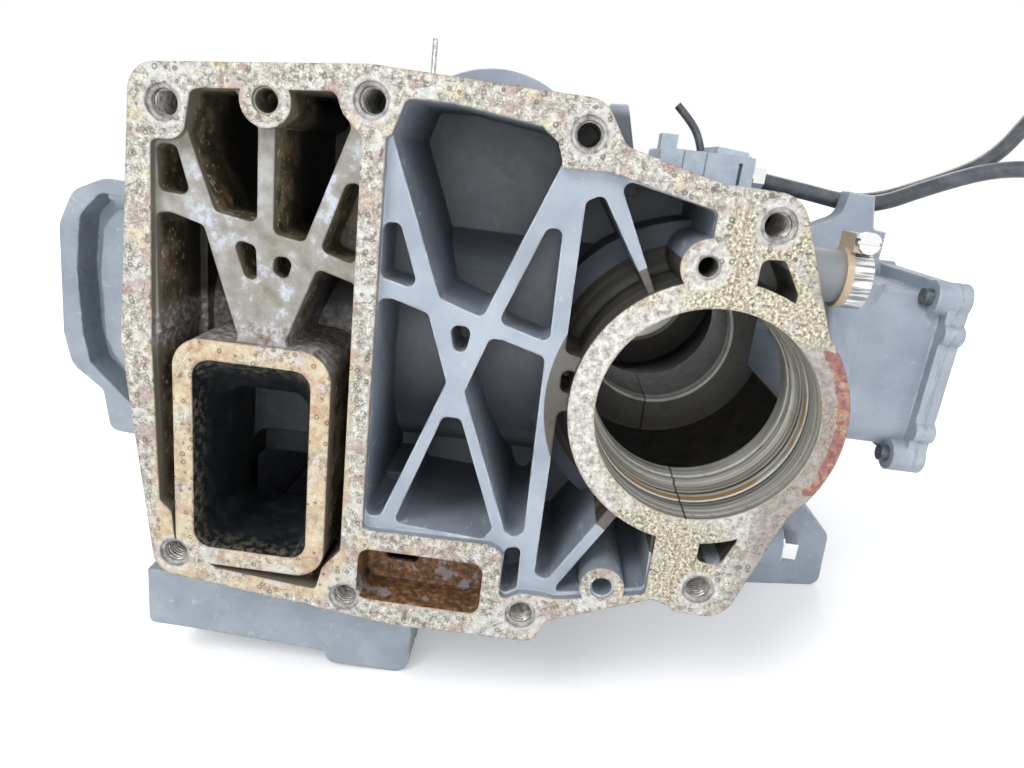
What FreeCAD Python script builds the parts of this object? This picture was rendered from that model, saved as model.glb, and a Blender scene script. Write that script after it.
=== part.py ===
import FreeCAD, Part
import math
import os

import Sketcher

# Cylinder block and crankcase of a small two-cylinder outboard, seen on its lower mounting face.
# Frame of the drawing: the crankshaft axis is Y, the lower face is Y = 0 and the casting lies behind it,
# X runs from the cylinder head (negative) to the intake (positive) and Z towards the starter side.
# The whole assembly is then turned about the crankshaft axis by lie_angle, as it lies on a bench.

SIZES = {
    # Pose on the bench
    "lie_angle": 6.6,
    # Crankshaft line, from the lower face upwards
    "bore_r": 35.0,
    "web_bore_r": 34.0,
    "upper_bore_r": 33.0,
    "bore_groove_depth": 1.4,
    "bore_groove_width": 2.2,
    "bore_groove_one": 12.0,
    "bore_groove_two": 19.5,
    "bore_groove_three": 31.0,
    "seal_len": 28.0,
    "bearing_seat_r": 34.0,
    "ring_wall": 8.5,
    "bearing_len": 41.0,
    "chamber_len": 84.0,
    "centre_web_len": 44.0,
    "chamber_r": 50.0,
    "chamber_wall": 8.0,
    "flare_len": 12.0,
    # Cylinders
    "deck_reach": 186.0,
    "cylinder_r": 34.0,
    "liner_wall": 3.5,
    "liner_len": 124.0,
    "barrel_wall": 9.5,
    "deck_flange": 12.0,
    "deck_half_height": 55.0,
    "port_width": 30.0,
    "port_height": 15.0,
    "exhaust_port_reach": 118.0,
    "transfer_port_reach": 96.0,
    # Lower mounting face and the skirt behind it
    "skirt_depth": 70.0,
    "floor_wall": 6.0,
    "land_step": 3.0,
    "window_corner": 2.4,
    "shallow_depth": 22.0,
    "thread_r": 4.0,
    "thread_len": 26.0,
    "mouth_r": 5.3,
    "mouth_depth": 1.2,
    "dowel_hole_r": 3.4,
    "pilot_hole_r": 3.0,
    "dowel_hole_len": 27.5,
    "dowel_mouth": 0.6,
    "dowel_boss_r": 7.6,
    "pilot_boss_r": 8.4,
    # Partition and exhaust duct
    "duct_left": -171.0,
    "duct_right": -119.3,
    "duct_top": 4.8,
    "duct_bottom": -76.0,
    "duct_wall": 6.2,
    "duct_outer_corner": 10.0,
    "duct_inner_corner": 6.0,
    "duct_throat_depth": 22.0,
    "duct_throat_left": -162.0,
    "duct_throat_right": -133.0,
    "duct_throat_top": -17.0,
    "duct_throat_bottom": -67.0,
    "duct_depth": 58.0,
    "duct_shelf_depth": 46.0,
    "duct_shelf_bottom": -42.0,
    # Drain pocket
    "drain_left": -107.2,
    "drain_right": -64.0,
    "drain_top": -62.0,
    "drain_bottom": -81.8,
    "drain_depth": 16.0,
    "drain_corner": 4.0,
    "drain_slot_left": -100.5,
    "drain_slot_right": -88.5,
    "drain_slot_bottom": -74.2,
    "drain_slot_depth": 52.0,
    # Exhaust chest and cover
    "chest_left": -176.0,
    "chest_right": -96.0,
    "chest_face": -96.0,
    "chest_wall": 8.0,
    "gallery_top": -56.0,
    "cover_front": 26.0,
    "cover_back": 262.0,
    "gasket": 1.0,
    "baffle": 2.5,
    "cover_wall": 5.0,
    "cover_left": -196.0,
    "cover_right": -90.4,
    "cover_bolt_inset": 7.2,
    "cover_seat": -123.4,
    "chest_flange": 4.0,
    # Flanges of the split between block and crankcase half
    "split_flange": 13.0,
    "split_top": 68.0,
    "split_bottom": -97.0,
    "seat_boss_r": 12.0,
    "seat_reach": 65.0,
    "lower_bolt_z": -85.0,
    "upper_bolt_z": 62.4,
    "upper_seat_reach": 24.0,
    "upper_bolt_near": 129.0,
    "foot_bolt_near": 91.5,
    "foot_bolt_far": 236.0,
    "foot_front": 101.4,
    "foot_len": 26.0,
    "recess_r": 9.8,
    "split_dowel_r": 4.0,
    "split_dowel_len": 14.0,
    "split_dowel_z": 80.0,
    # Cylinder head
    "head_gasket": 1.2,
    "head_front": 35.0,
    "head_back": 259.0,
    "head_plate": 12.0,
    "head_bolt_inset": 6.5,
    "plug_hole_r": 7.0,
    "dome_r": 30.0,
    "dome_depth": 9.0,
    # Intake side
    "intake_face": 90.5,
    "intake_front": 52.0,
    "intake_back": 242.0,
    "intake_top": 40.0,
    "intake_bottom": -20.0,
    "intake_flange": 2.5,
    "intake_lip": 5.0,
    "intake_wall": 6.0,
    "reed_plate": 3.5,
    "intake_lobe_r": 6.2,
    "intake_bolt_z": 37.5,
    "intake_boss": 7.5,
    "intake_ear_r": 3.8,
    "intake_ear_top": 27.7,
    "intake_ear_low": -9.7,
    "cap_screw_r": 5.0,
    "cap_screw_head": 2.6,
    "cap_screw_seat": 3.0,
    "intake_screw_len": 12.0,
    "pillar_r": 16.0,
    "pillar_x": 55.0,
    "pillar_y": 66.0,
    # Hose joint on the crankcase skirt
    "nipple_r": 6.0,
    "nipple_wall": 1.5,
    "joint_y": 30.0,
    "joint_relief_r": 11.0,
    "joint_z": 45.4,
    "joint_root": 26.0,
    "joint_hose_r": 8.7,
    "joint_hose_end": 48.5,
    "clamp_x": 39.6,
    "clamp_width": 8.4,
    "clamp_wall": 1.2,
    "clamp_screw_r": 3.4,
    # Starter bracket disc on the block
    "starter_disc_x": -88.0,
    "starter_disc_z": 58.0,
    "starter_disc_r": 50.0,
    "starter_disc_y": 144.0,
    "starter_disc_thickness": 9.0,
    "starter_rim": 6.0,
    # Small parts on top
    "bracket_left": -18.8,
    "bracket_right": 16.7,
    "bracket_front": 72.0,
    "bracket_len": 42.0,
    "bracket_top": 80.7,
    "rod_x": -104.0,
    "rod_y": 56.0,
    "rod_r": 0.9,
    "rod_top": 106.5,
    "rod_seat": 78.0,
    # Bolts
    "m8_r": 4.0,
    "m8_flats": 13.0,
    "m8_head": 6.5,
    "m8_flange_r": 8.6,
    "m8_flange": 1.8,
    "m6_r": 3.0,
    "m6_flats": 10.0,
    "m6_head": 4.6,
    "m6_flange_r": 6.6,
    "m6_flange": 1.3,
    "hole_clearance": 0.3,
    # Hoses
    "hose_r": 3.2,
    "thin_hose_r": 1.5,
}

# Outlines of the castings on the plane of the lower face: corner X, corner Z, corner radius.
OUTLINES = {
    "block_rim": [
        (-182.0, 84.5, 9.0), (-112.0, 91.2, 0.0), (-45.0, 89.2, 8.0), (-37.5, 77.5, 5.0), (-8.0, 70.3, 0.0),
        (0.0, 70.2, 0.0), (0.0, -67.8, 0.0), (-6.0, -66.4, 0.0), (-40.5, -80.5, 4.0), (-44.0, -89.6, 6.0),
        (-93.0, -90.6, 0.0), (-178.5, -81.5, 8.0), (-187.6, 0.0, 0.0),
    ],
    "crankcase_rim": [
        (0.0, 70.2, 0.0), (14.5, 70.2, 11.0), (42.8, 2.5, 22.0), (18.5, -70.5, 10.0), (2.0, -69.6, 0.0),
        (0.0, -67.8, 0.0),
    ],
    "left_land": [
        (-176.2, 64.0, 2.0), (-168.5, 64.5, 5.0), (-164.2, 70.0, 5.0),
        (-163.6, 79.3, 3.0), (-121.5, 83.0, 3.0),
        (-119.6, 77.5, 3.0), (-113.4, 71.5, 2.0), (-113.4, -64.0, 3.0), (-119.5, -71.5, 3.0),
        (-121.5, -80.6, 2.0), (-157.0, -77.6, 2.0), (-171.5, -68.0, 2.0), (-172.5, -58.0, 2.0),
        (-176.5, -54.0, 2.0), (-177.6, 0.0, 0.0),
    ],
    "centre_land": [
        (-106.4, 72.5, 3.0), (-102.6, 74.0, 3.0), (-101.4, 83.4, 4.0),
        (-88.0, 83.6, 0.0), (-60.5, 80.0, 5.0),
        (-56.0, 69.5, 4.0), (-41.0, 70.0, 4.0), (-37.5, 69.2, 0.0), (-8.5, 62.8, 2.0), (-8.5, 30.0, 0.0),
        (-8.5, -30.0, 0.0), (-8.5, -65.0, 2.0), (-38.0, -71.6, 3.0),
        (-44.0, -71.0, 3.0), (-51.0, -71.2, 2.0),
        (-57.5, -75.5, 2.0), (-58.0, -56.5, 3.0), (-62.5, -54.2, 3.0), (-106.4, -55.0, 2.0),
    ],
    "duct_well": [
        (-176.4, 4.6, 1.0), (-113.4, 4.6, 1.0), (-113.4, -64.0, 3.0), (-119.5, -71.5, 3.0),
        (-121.5, -80.6, 2.0), (-157.0, -77.6, 2.0), (-171.5, -68.0, 2.0), (-172.5, -58.0, 2.0),
        (-176.5, -54.0, 2.0), (-177.4, 0.0, 0.0),
    ],
    "foot": [
        (8.0, -60.0, 0.0), (63.0, -55.0, 6.0), (92.4, -82.0, 7.0),
        (93.6, -109.08, 5.0), (50.0, -114.13, 4.0),
        (24.0, -97.0, 8.0), (8.0, -97.0, 0.0),
    ],
    "horn": [
        (38.0, 30.0, 0.0), (44.0, 58.0, 3.0), (55.0, 63.5, 6.0), (56.5, 72.8, 0.0), (66.0, 72.4, 0.0),
        (68.5, 60.0, 1.5), (73.6, 59.4, 0.0), (73.6, 34.0, 0.0),
    ],
    "wedge": [
        (-46.0, 62.0, 0.0), (-41.0, 92.4, 1.0), (-34.6, 92.8, 1.0), (-26.0, 62.0, 0.0),
    ],
    "head_shell": [
        (-199.2, 46.8, 0.0), (-212.5, 47.2, 4.0), (-223.5, 42.0, 8.0), (-229.0, 30.0, 9.0),
        (-230.0, -10.0, 6.0), (-227.4, -22.0, 7.0), (-216.0, -30.5, 4.0),
        (-213.8, -46.5, 4.0), (-199.2, -47.2, 0.0),
    ],
    "head_inside": [
        (-199.2, 41.0, 0.0), (-213.5, 42.6, 4.0), (-221.5, 34.0, 8.0), (-223.6, 14.0, 0.0),
        (-222.6, -10.0, 4.0), (-220.5, -20.5, 3.0), (-208.0, -32.5, 4.0), (-199.2, -40.0, 0.0),
    ],
    "head_core": [
        (-199.2, 36.0, 0.0), (-209.5, 38.0, 5.0), (-216.5, 30.5, 7.0), (-218.5, 12.0, 0.0),
        (-217.5, -12.0, 4.0), (-214.5, -19.0, 4.0), (-205.0, -28.5, 4.0), (-199.2, -33.0, 0.0),
    ],
    "cover_profile": [
        (-196.0, -99.5, 0.0), (-196.0, -123.6, 2.5), (-181.0, -123.8, 0.0), (-124.5, -126.0, 2.0),
        (-123.0, -131.0, 6.0), (-90.4, -131.0, 6.0), (-90.4, -99.5, 0.0),
    ],
}

# Openings between the ribs, cut to the floor of the skirt.
DEEP_WINDOWS = {
    "tall_left": [
        (-164.0, 79.0), (-152.0, 80.2), (-145.0, 70.5),
        (-145.0, 42.6), (-158.2, 44.8), (-166.2, 66.6),
    ],
    "tall_right": [
        (-135.0, 81.8), (-122.3, 82.8), (-117.3, 73.7),
        (-130.2, 38.6), (-140.0, 40.2), (-140.0, 70.5),
    ],
    "low_left": [(-176.6, 42.5), (-172.0, 43.0), (-161.6, 40.2), (-150.0, 4.0), (-176.6, 4.0)],
    "low_right": [(-126.0, 31.2), (-113.6, 27.8), (-113.6, 4.0), (-136.5, 4.0)],
    "funnel": [
        (-101.2, 83.2), (-88.3, 83.4), (-62.0, 80.0), (-57.0, 76.6),
        (-54.9, 71.0), (-73.4, 22.4), (-87.3, 26.8),
        (-105.0, 72.6),
    ],
    "ring_upper": [(-46.7, 61.0), (-41.8, 63.6), (-20.0, 30.0), (-34.0, 12.5), (-46.6, 14.6)],
    "ring_lower": [(-46.4, -4.6), (-36.0, -4.0), (-23.5, -34.0), (-42.0, -66.4), (-46.4, -64.6)],
    "blister": [
        (-106.3, 24.6), (-101.8, 24.8), (-90.4, 21.6),
        (-82.8, 0.0), (-101.2, -50.6), (-106.3, -50.6),
    ],
    "lower_star": [(-82.9, -11.6), (-77.0, -11.6), (-62.6, -49.6), (-65.5, -54.0), (-96.6, -52.2)],
    "deep_middle": [
        (-70.5, 16.2), (-66.4, 16.2), (-52.6, 12.4), (-51.9, -48.8),
        (-54.6, -52.0), (-58.4, -50.0), (-76.8, -2.4),
    ],
    "boss_side": [(-38.2, 68.8), (-8.6, 62.6), (-8.6, 40.0), (-21.0, 34.5)],
    "foot_side": [(-21.5, -38.0), (-9.4, -40.0), (-8.6, -64.0), (-38.2, -70.6), (-38.4, -68.0)],
}

# Small openings, cut less deep.
SMALL_WINDOWS = {
    "corner_left": [(-176.0, 63.0), (-169.8, 63.0), (-165.4, 48.4), (-175.6, 49.0)],
    "corner_right": [(-113.8, 58.4), (-118.2, 57.6), (-125.4, 36.8), (-113.8, 33.4)],
    "hub_left": [(-152.9, 37.6), (-145.2, 35.8), (-144.8, 25.0), (-148.6, 25.6)],
    "hub_right": [(-139.6, 33.8), (-133.4, 33.2), (-135.4, 26.0), (-139.9, 28.2)],
    "wall_upper": [(-106.2, 48.0), (-101.0, 48.2), (-93.9, 28.2), (-106.2, 31.2)],
    "tall_side": [(-57.0, 52.0), (-52.3, 52.2), (-51.8, 17.0), (-68.4, 21.6)],
    "star_hub": [(-83.6, 19.0), (-76.3, 19.0), (-77.6, 10.6), (-81.4, 10.6)],
    "web_eye": [(-46.8, 9.6), (-40.6, 8.4), (-40.6, 1.6), (-46.6, 1.6)],
    "drain_side": [(-57.6, -56.4), (-52.2, -54.4), (-51.8, -71.0), (-57.6, -74.6)],
}

# Openings of the crankcase half.
CRANKCASE_WINDOWS = {
    "upper_core": [(6.6, 50.8), (13.4, 51.4), (19.2, 41.8), (18.6, 34.0), (6.6, 40.0)],
    "lower_core": [(6.0, -40.0), (19.4, -37.0), (13.8, -50.4), (6.0, -49.8)],
}

# Holes of the lower face: X, Z.
THREADED_HOLES = {
    "hole_head_top": (-172.2, 74.4),
    "hole_partition_top": (-111.2, 81.6),
    "hole_shoulder": (-48.4, 79.4),
    "hole_crankcase_top": (9.4, 60.8),
    "hole_crankcase_low": (8.8, -60.2),
    "hole_middle_low": (-49.4, -79.4),
    "hole_partition_low": (-111.3, -82.0),
    "hole_head_low": (-171.6, -73.6),
}
DOWEL_HOLES = {
    "dowel_top": (-142.0, 78.2),
    "dowel_low": (-23.2, -64.8),
}
PILOT_HOLE = {"pilot": (-8.2, 46.6)}

# Routes of the two cut hoses and the thin one: X, Y, Z, chosen by hand.
HOSE_A = [
    (17.4, 97.0, 74.0), (44.0, 97.0, 71.0), (70.0, 95.0, 67.0), (93.0, 94.0, 79.0), (116.0, 94.0, 88.5),
    (142.0, 96.0, 90.0), (163.0, 100.0, 70.0), (172.0, 104.0, 32.0), (178.0, 106.0, -12.0),
    (186.0, 108.0, -58.0), (204.0, 112.0, -84.0), (238.0, 120.0, -87.4), (272.0, 134.0, -83.2),
]
HOSE_B = [
    (17.4, 108.0, 74.0), (44.0, 108.0, 71.0), (72.0, 108.0, 68.0),
    (100.0, 108.0, 80.0), (122.0, 110.0, 92.0),
    (136.0, 114.0, 114.0), (154.0, 120.0, 138.0), (182.0, 128.0, 140.0), (201.0, 136.0, 112.0),
    (208.0, 142.0, 70.0), (212.0, 148.0, 24.0), (217.0, 153.0, -24.0), (228.0, 160.0, -66.0),
    (252.0, 172.0, -84.6), (284.0, 190.0, -80.6),
]
THIN_HOSE = [(-1.5, 88.0, 81.2), (-3.0, 88.0, 86.0), (-7.5, 88.0, 92.0), (-13.5, 88.0, 97.0)]

PLANES = {"front": "XZ_Plane", "side": "YZ_Plane", "top": "XY_Plane"}

doc = FreeCAD.newDocument("outboard_cylinder_block")
sheet = doc.addObject("Spreadsheet::Sheet", "sizes")


class Size:
    """A number together with the sheet formula that gives it."""

    def __init__(self, value, formula):
        self.value = value
        self.formula = formula

    def __add__(self, other):
        other = as_size(other)
        return Size(self.value + other.value, "(%s + %s)" % (self.formula, other.formula))

    def __sub__(self, other):
        other = as_size(other)
        return Size(self.value - other.value, "(%s - %s)" % (self.formula, other.formula))

    def __mul__(self, other):
        other = as_size(other)
        return Size(self.value * other.value, "(%s * %s)" % (self.formula, other.formula))

    def __truediv__(self, other):
        other = as_size(other)
        return Size(self.value / other.value, "(%s / %s)" % (self.formula, other.formula))

    def __neg__(self):
        return Size(-self.value, "(0 - %s)" % self.formula)

    __radd__ = __add__


def as_size(number):
    if isinstance(number, Size):
        return number
    return Size(float(number), "(%.6f)" % number)


class Sizes:
    """The named values of the sheet, as attributes."""


v = Sizes()
row = 0


def store(name, value):
    """Writes one named value in the sheet and keeps it as an attribute of v."""
    global row
    row += 1
    sheet.set("A%d" % row, name)
    sheet.set("B%d" % row, "%.4f" % value)
    sheet.setAlias("B%d" % row, name)
    size = Size(float(value), "sizes." + name)
    setattr(v, name, size)
    return size


def store_corners(name, corners):
    """Stores an outline's corners; corners with no radius of their own take the window radius."""
    out = []
    for number, corner in enumerate(corners, 1):
        x = store("%s_across_%d" % (name, number), corner[0])
        z = store("%s_up_%d" % (name, number), corner[1])
        out.append((x, z, corner[2] if len(corner) > 2 else v.window_corner))
    return out


for size_name, size_value in SIZES.items():
    store(size_name, size_value)
outlines = {name: store_corners(name, corners) for name, corners in OUTLINES.items()}
deep_windows = {name: store_corners(name, corners) for name, corners in DEEP_WINDOWS.items()}
small_windows = {name: store_corners(name, corners) for name, corners in SMALL_WINDOWS.items()}
crankcase_windows = {name: store_corners(name, corners) for name, corners in CRANKCASE_WINDOWS.items()}


def store_holes(holes):
    return {name: (store(name + "_across", x), store(name + "_up", z)) for name, (x, z) in holes.items()}


threaded_holes = store_holes(THREADED_HOLES)
dowel_holes = store_holes(DOWEL_HOLES)
pilot_hole = store_holes(PILOT_HOLE)
doc.recompute()

# Places worked out from the sizes
web_start = v.bearing_len + v.chamber_len
web_end = web_start + v.centre_web_len
upper_start = web_end + v.chamber_len
block_len = upper_start + v.bearing_len
lower_cylinder_y = v.bearing_len + v.chamber_len / 2
upper_cylinder_y = web_end + v.chamber_len / 2
ring_r = v.bore_r + v.ring_wall
crank_barrel_r = v.chamber_r + v.chamber_wall
liner_r = v.cylinder_r + v.liner_wall
barrel_r = liner_r + v.barrel_wall
head_face = -(v.deck_reach + v.head_gasket)
head_outer = head_face - v.head_plate
cover_top = v.chest_face - v.gasket - v.baffle
reed_face = v.intake_face + v.gasket
reed_outer = reed_face + v.reed_plate


def circle(u, w, r):
    return ("circle", as_size(u), as_size(w), as_size(r))


def loop(corners):
    return ("loop", [(as_size(u), as_size(w), as_size(r)) for u, w, r in corners])


def rectangle(u_low, w_low, u_high, w_high, r=0.0):
    return loop([(u_low, w_low, r), (u_high, w_low, r), (u_high, w_high, r), (u_low, w_high, r)])


def corner_arc(before, corner, after, radius):
    """Where a corner's arc starts and ends, its centre and its radius; None if the corner stays sharp."""
    back = before - corner
    on = after - corner
    reach = 0.48 * min(back.Length, on.Length)
    back.normalize()
    on.normalize()
    half_angle = math.acos(max(-1.0, min(1.0, back.dot(on)))) / 2
    if radius <= 0 or half_angle > math.radians(89):
        return None
    setback = min(radius / math.tan(half_angle), reach)
    radius = setback * math.tan(half_angle)
    middle = (back + on).normalize()
    centre = corner + middle * (radius / math.sin(half_angle))
    return corner + back * setback, corner + on * setback, centre, radius


class Drawing:
    """Geometry and constraints of one sketch, gathered first and then added together."""

    def __init__(self):
        self.geometry = []
        self.marks = []
        self.constraints = []
        self.ties = []

    def tie(self, size, *constraint):
        self.ties.append((len(self.constraints), size.formula))
        self.constraints.append((constraint[0], *constraint[1:], size.value))

    def tie_point(self, curve, position, u, w):
        self.tie(u, "DistanceX", -1, 1, curve, position)
        self.tie(w, "DistanceY", -1, 1, curve, position)

    def curve(self, curve, mark=False):
        self.geometry.append(curve)
        self.marks.append(mark)
        return len(self.geometry) - 1

    def circle(self, u, w, r):
        rim = self.curve(Part.Circle(FreeCAD.Vector(u.value, w.value, 0), FreeCAD.Vector(0, 0, 1), r.value))
        self.tie(r, "Radius", rim)
        self.tie_point(rim, 3, u, w)

    def loop(self, corners):
        """A closed outline with rounded corners; its corner points are tied to the sheet."""
        points = [FreeCAD.Vector(u.value, w.value, 0) for u, w, r in corners]
        count = len(points)
        arcs = []
        for i in range(count):
            arcs.append(corner_arc(points[i - 1], points[i], points[(i + 1) % count], corners[i][2].value))
        starts = [arc[0] if arc else point for arc, point in zip(arcs, points)]
        ends = [arc[1] if arc else point for arc, point in zip(arcs, points)]
        lines = [self.curve(Part.LineSegment(ends[i], starts[(i + 1) % count])) for i in range(count)]
        for i in range(count):
            line_in = lines[i - 1]
            line_out = lines[i]
            if arcs[i] is None:
                self.constraints.append(("Coincident", line_in, 2, line_out, 1))
                self.tie_point(line_out, 1, corners[i][0], corners[i][1])
                continue
            start, end, centre, radius = arcs[i]
            angle_start = math.atan2(start.y - centre.y, start.x - centre.x)
            angle_end = math.atan2(end.y - centre.y, end.x - centre.x)
            left_turn = (points[i] - points[i - 1]).cross(points[(i + 1) % count] - points[i]).z > 0
            angles = (angle_start, angle_end) if left_turn else (angle_end, angle_start)
            rim = Part.Circle(centre, FreeCAD.Vector(0, 0, 1), radius)
            arc = self.curve(Part.ArcOfCircle(rim, *angles))
            mark = self.curve(Part.Point(points[i]), True)
            in_end, out_end = (1, 2) if left_turn else (2, 1)
            self.constraints += [
                ("Tangent", line_in, 2, arc, in_end),
                ("Tangent", arc, out_end, line_out, 1),
                ("PointOnObject", mark, 1, line_in),
                ("PointOnObject", mark, 1, line_out),
                ("Radius", arc, radius),
            ]
            self.tie_point(mark, 1, corners[i][0], corners[i][1])

    def add_to(self, sketch):
        for curve, mark in zip(self.geometry, self.marks):
            sketch.addGeometry(curve, mark)
        sketch.addConstraint([Sketcher.Constraint(*constraint) for constraint in self.constraints])
        for index, formula in self.ties:
            sketch.setExpression("Constraints[%d]" % index, formula)


def draw(body, name, plane, shapes, place):
    """A sketch on one of the body's own planes, moved along the plane's axis to the given place."""
    sketch = body.newObject("Sketcher::SketchObject", name)
    role = PLANES[plane]
    support = [feature for feature in body.Origin.OriginFeatures if feature.Role == role][0]
    sketch.AttachmentSupport = [(support, "")]
    sketch.MapMode = "FlatFace"
    place = as_size(place)
    offset = -place if plane == "front" else place
    sketch.AttachmentOffset = FreeCAD.Placement(FreeCAD.Vector(0, 0, offset.value), FreeCAD.Rotation())
    sketch.setExpression("AttachmentOffset.Base.z", offset.formula)
    drawing = Drawing()
    for shape in shapes:
        if shape[0] == "circle":
            drawing.circle(*shape[1:])
        else:
            drawing.loop(shape[1])
    drawing.add_to(sketch)
    return sketch


def extrude(body, kind, name, plane, shapes, start, length):
    """A pad or pocket that runs from start towards the positive end of the plane's axis."""
    sketch = draw(body, name + "_sketch", plane, shapes, start)
    feature = body.newObject("PartDesign::" + kind, name)
    feature.Profile = sketch
    length = as_size(length)
    feature.Length = length.value
    feature.setExpression("Length", length.formula)
    feature.Reversed = (kind == "Pad") == (plane == "front")
    sketch.Visibility = False
    return feature


def pad(body, name, plane, shapes, start, end):
    return extrude(body, "Pad", name, plane, shapes, start, as_size(end) - start)


def pocket(body, name, plane, shapes, start, end):
    return extrude(body, "Pocket", name, plane, shapes, start, as_size(end) - start)


def turned(body, kind, name, corners):
    """A shape turned about the crankshaft axis; its corners are (Y, radius) pairs."""
    sketch = draw(body, name + "_sketch", "side", [loop([(y, r, 0.0) for y, r in corners])], 0)
    feature = body.newObject("PartDesign::" + kind, name)
    feature.Profile = sketch
    feature.ReferenceAxis = (sketch, ["H_Axis"])
    feature.Angle = 360.0
    sketch.Visibility = False
    return feature


def make_body(label):
    body = doc.addObject("PartDesign::Body", label)
    body.Label = label
    body.AllowCompound = True
    return body


def new_body(label):
    body = make_body(label)
    nodes.append(body)
    return body


nodes = []


def bore_line_walls(body):
    """Bearing ring, the flare behind it and the crank barrel, the same in both halves."""
    turned(body, "Revolution", "crank_barrel", [
        (0, 0), (0, ring_r), (v.bearing_len - v.flare_len, ring_r), (v.bearing_len, crank_barrel_r),
        (block_len, crank_barrel_r), (block_len, 0),
    ])


def bore_line_cuts(body, kind):
    """Crankshaft bore with its grooves and the two crank chambers, turned in one."""
    groove_r = v.bore_r + v.bore_groove_depth
    corners = [(-1.0, 0), (-1.0, v.bore_r)]
    for groove in (v.bore_groove_one, v.bore_groove_two):
        end = groove + v.bore_groove_width
        corners += [(groove, v.bore_r), (groove, groove_r), (end, groove_r), (end, v.bore_r)]
    groove = v.bore_groove_three
    end = groove + v.bore_groove_width
    corners += [(v.seal_len, v.bore_r), (v.seal_len, v.bearing_seat_r), (groove, v.bearing_seat_r)]
    corners += [(groove, groove_r), (end, groove_r), (end, v.bearing_seat_r)]
    corners += [(v.bearing_len, v.bearing_seat_r), (v.bearing_len, v.chamber_r), (web_start, v.chamber_r)]
    corners += [(web_start, v.web_bore_r), (web_end, v.web_bore_r), (web_end, v.chamber_r)]
    corners += [(upper_start, v.chamber_r), (upper_start, v.upper_bore_r)]
    corners += [(block_len + 1.0, v.upper_bore_r), (block_len + 1.0, 0)]
    turned(body, kind, "crank_space", corners)


def face_holes(body, holes):
    """Threaded holes of the lower face, each with its machined mouth."""
    rims = [circle(x, z, v.mouth_r) for x, z in holes]
    pocket(body, "hole_mouths", "front", rims, 0, v.mouth_depth)
    pocket(body, "hole_threads", "front", [circle(x, z, v.thread_r) for x, z in holes], 0, v.thread_len)


def cylinder_block():
    """The main casting: mounting face, ribbed skirt, exhaust duct, two cylinder barrels, exhaust chest."""
    floor = v.skirt_depth - v.floor_wall
    skirt = make_body("block_skirt")
    pad(skirt, "slab", "front", [loop(outlines["block_rim"])], 0, v.skirt_depth)
    pocket(skirt, "left_land", "front", [loop(outlines["left_land"])], 0, v.land_step)
    pocket(skirt, "centre_land", "front", [loop(outlines["centre_land"])], 0, v.land_step)
    for name, corners in deep_windows.items():
        pocket(skirt, "window_" + name, "front", [loop(corners)], 0, floor)
    for name, corners in small_windows.items():
        pocket(skirt, "window_" + name, "front", [loop(corners)], 0, v.shallow_depth)
    pocket(skirt, "duct_well", "front", [loop(outlines["duct_well"])], 0, floor)
    walls = block_walls(floor)
    openings = block_openings()
    solid = doc.addObject("Part::MultiFuse", "block_solid")
    solid.Shapes = [skirt, walls]
    part = doc.addObject("Part::Cut", "cylinder_block")
    part.Base = solid
    part.Tool = openings
    part.Label = "cylinder_block"
    nodes.append(part)


def block_walls(floor):
    """What stands behind the skirt, and the ring, duct and bosses that stand up inside it."""
    body = make_body("block_walls")
    for name, y in (("lower", lower_cylinder_y), ("upper", upper_cylinder_y)):
        pad(body, name + "_barrel", "side", [circle(y, 0, barrel_r)], -v.deck_reach, -v.bore_r)
    web = rectangle(lower_cylinder_y, -liner_r, upper_cylinder_y, liner_r)
    pad(body, "barrel_web", "side", [web], -v.deck_reach, -v.bore_r)
    front = v.cover_front + v.floor_wall
    plate = rectangle(front, -v.deck_half_height, v.cover_back, v.deck_half_height, 12.0)
    pad(body, "deck_plate", "side", [plate], -v.deck_reach, v.deck_flange - v.deck_reach)
    bore_line_walls(body)
    duct = rectangle(v.duct_left, v.duct_bottom, v.duct_right, v.duct_top, v.duct_outer_corner)
    pad(body, "duct", "front", [duct], 0, floor)
    chest = rectangle(v.chest_left, v.chest_face, v.chest_right, v.gallery_top + v.chest_wall, 6.0)
    pad(body, "exhaust_chest", "front", [chest], v.cover_front + v.chest_wall, v.cover_back)
    flange = rectangle(v.cover_left, v.cover_front + v.chest_wall, v.cover_right, v.cover_back, 5.0)
    pad(body, "chest_flange", "top", [flange], v.chest_face, v.chest_face + v.chest_flange)
    flange = rectangle(-v.split_flange, v.split_bottom, v.split_flange, v.split_top, 6.0)
    pad(body, "split_plate", "front", [flange], floor, block_len)
    bosses = [circle(x, z, v.dowel_boss_r) for x, z in dowel_holes.values()]
    bosses += [circle(x, z, v.pilot_boss_r) for x, z in pilot_hole.values()]
    pad(body, "dowel_bosses", "front", bosses, 0, floor)
    starter_disc(body)
    pad(body, "lifting_lug", "front", [loop(outlines["wedge"])], 56.0, v.skirt_depth)
    return body


def starter_disc(body):
    """Round bracket disc between the barrels, dished, with a radial rib left standing."""
    x = v.starter_disc_x
    z = v.starter_disc_z
    start = v.starter_disc_y
    end = start + v.starter_disc_thickness
    pad(body, "starter_disc", "front", [circle(x, z, v.starter_disc_r)], start, end)
    left = loop([
        (x - 34.0, z + 6.0, 3.0), (x - 20.0, z + 34.0, 5.0),
        (x + 2.0, z + 38.0, 3.0), (x - 14.0, z + 18.0, 3.0),
    ])
    right = loop([
        (x - 6.0, z + 18.0, 3.0), (x + 14.0, z + 36.0, 3.0),
        (x + 28.0, z + 28.0, 5.0), (x + 36.0, z + 6.0, 3.0),
    ])
    pocket(body, "starter_dishes", "front", [left, right], start, start + v.starter_disc_thickness / 2)


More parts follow.
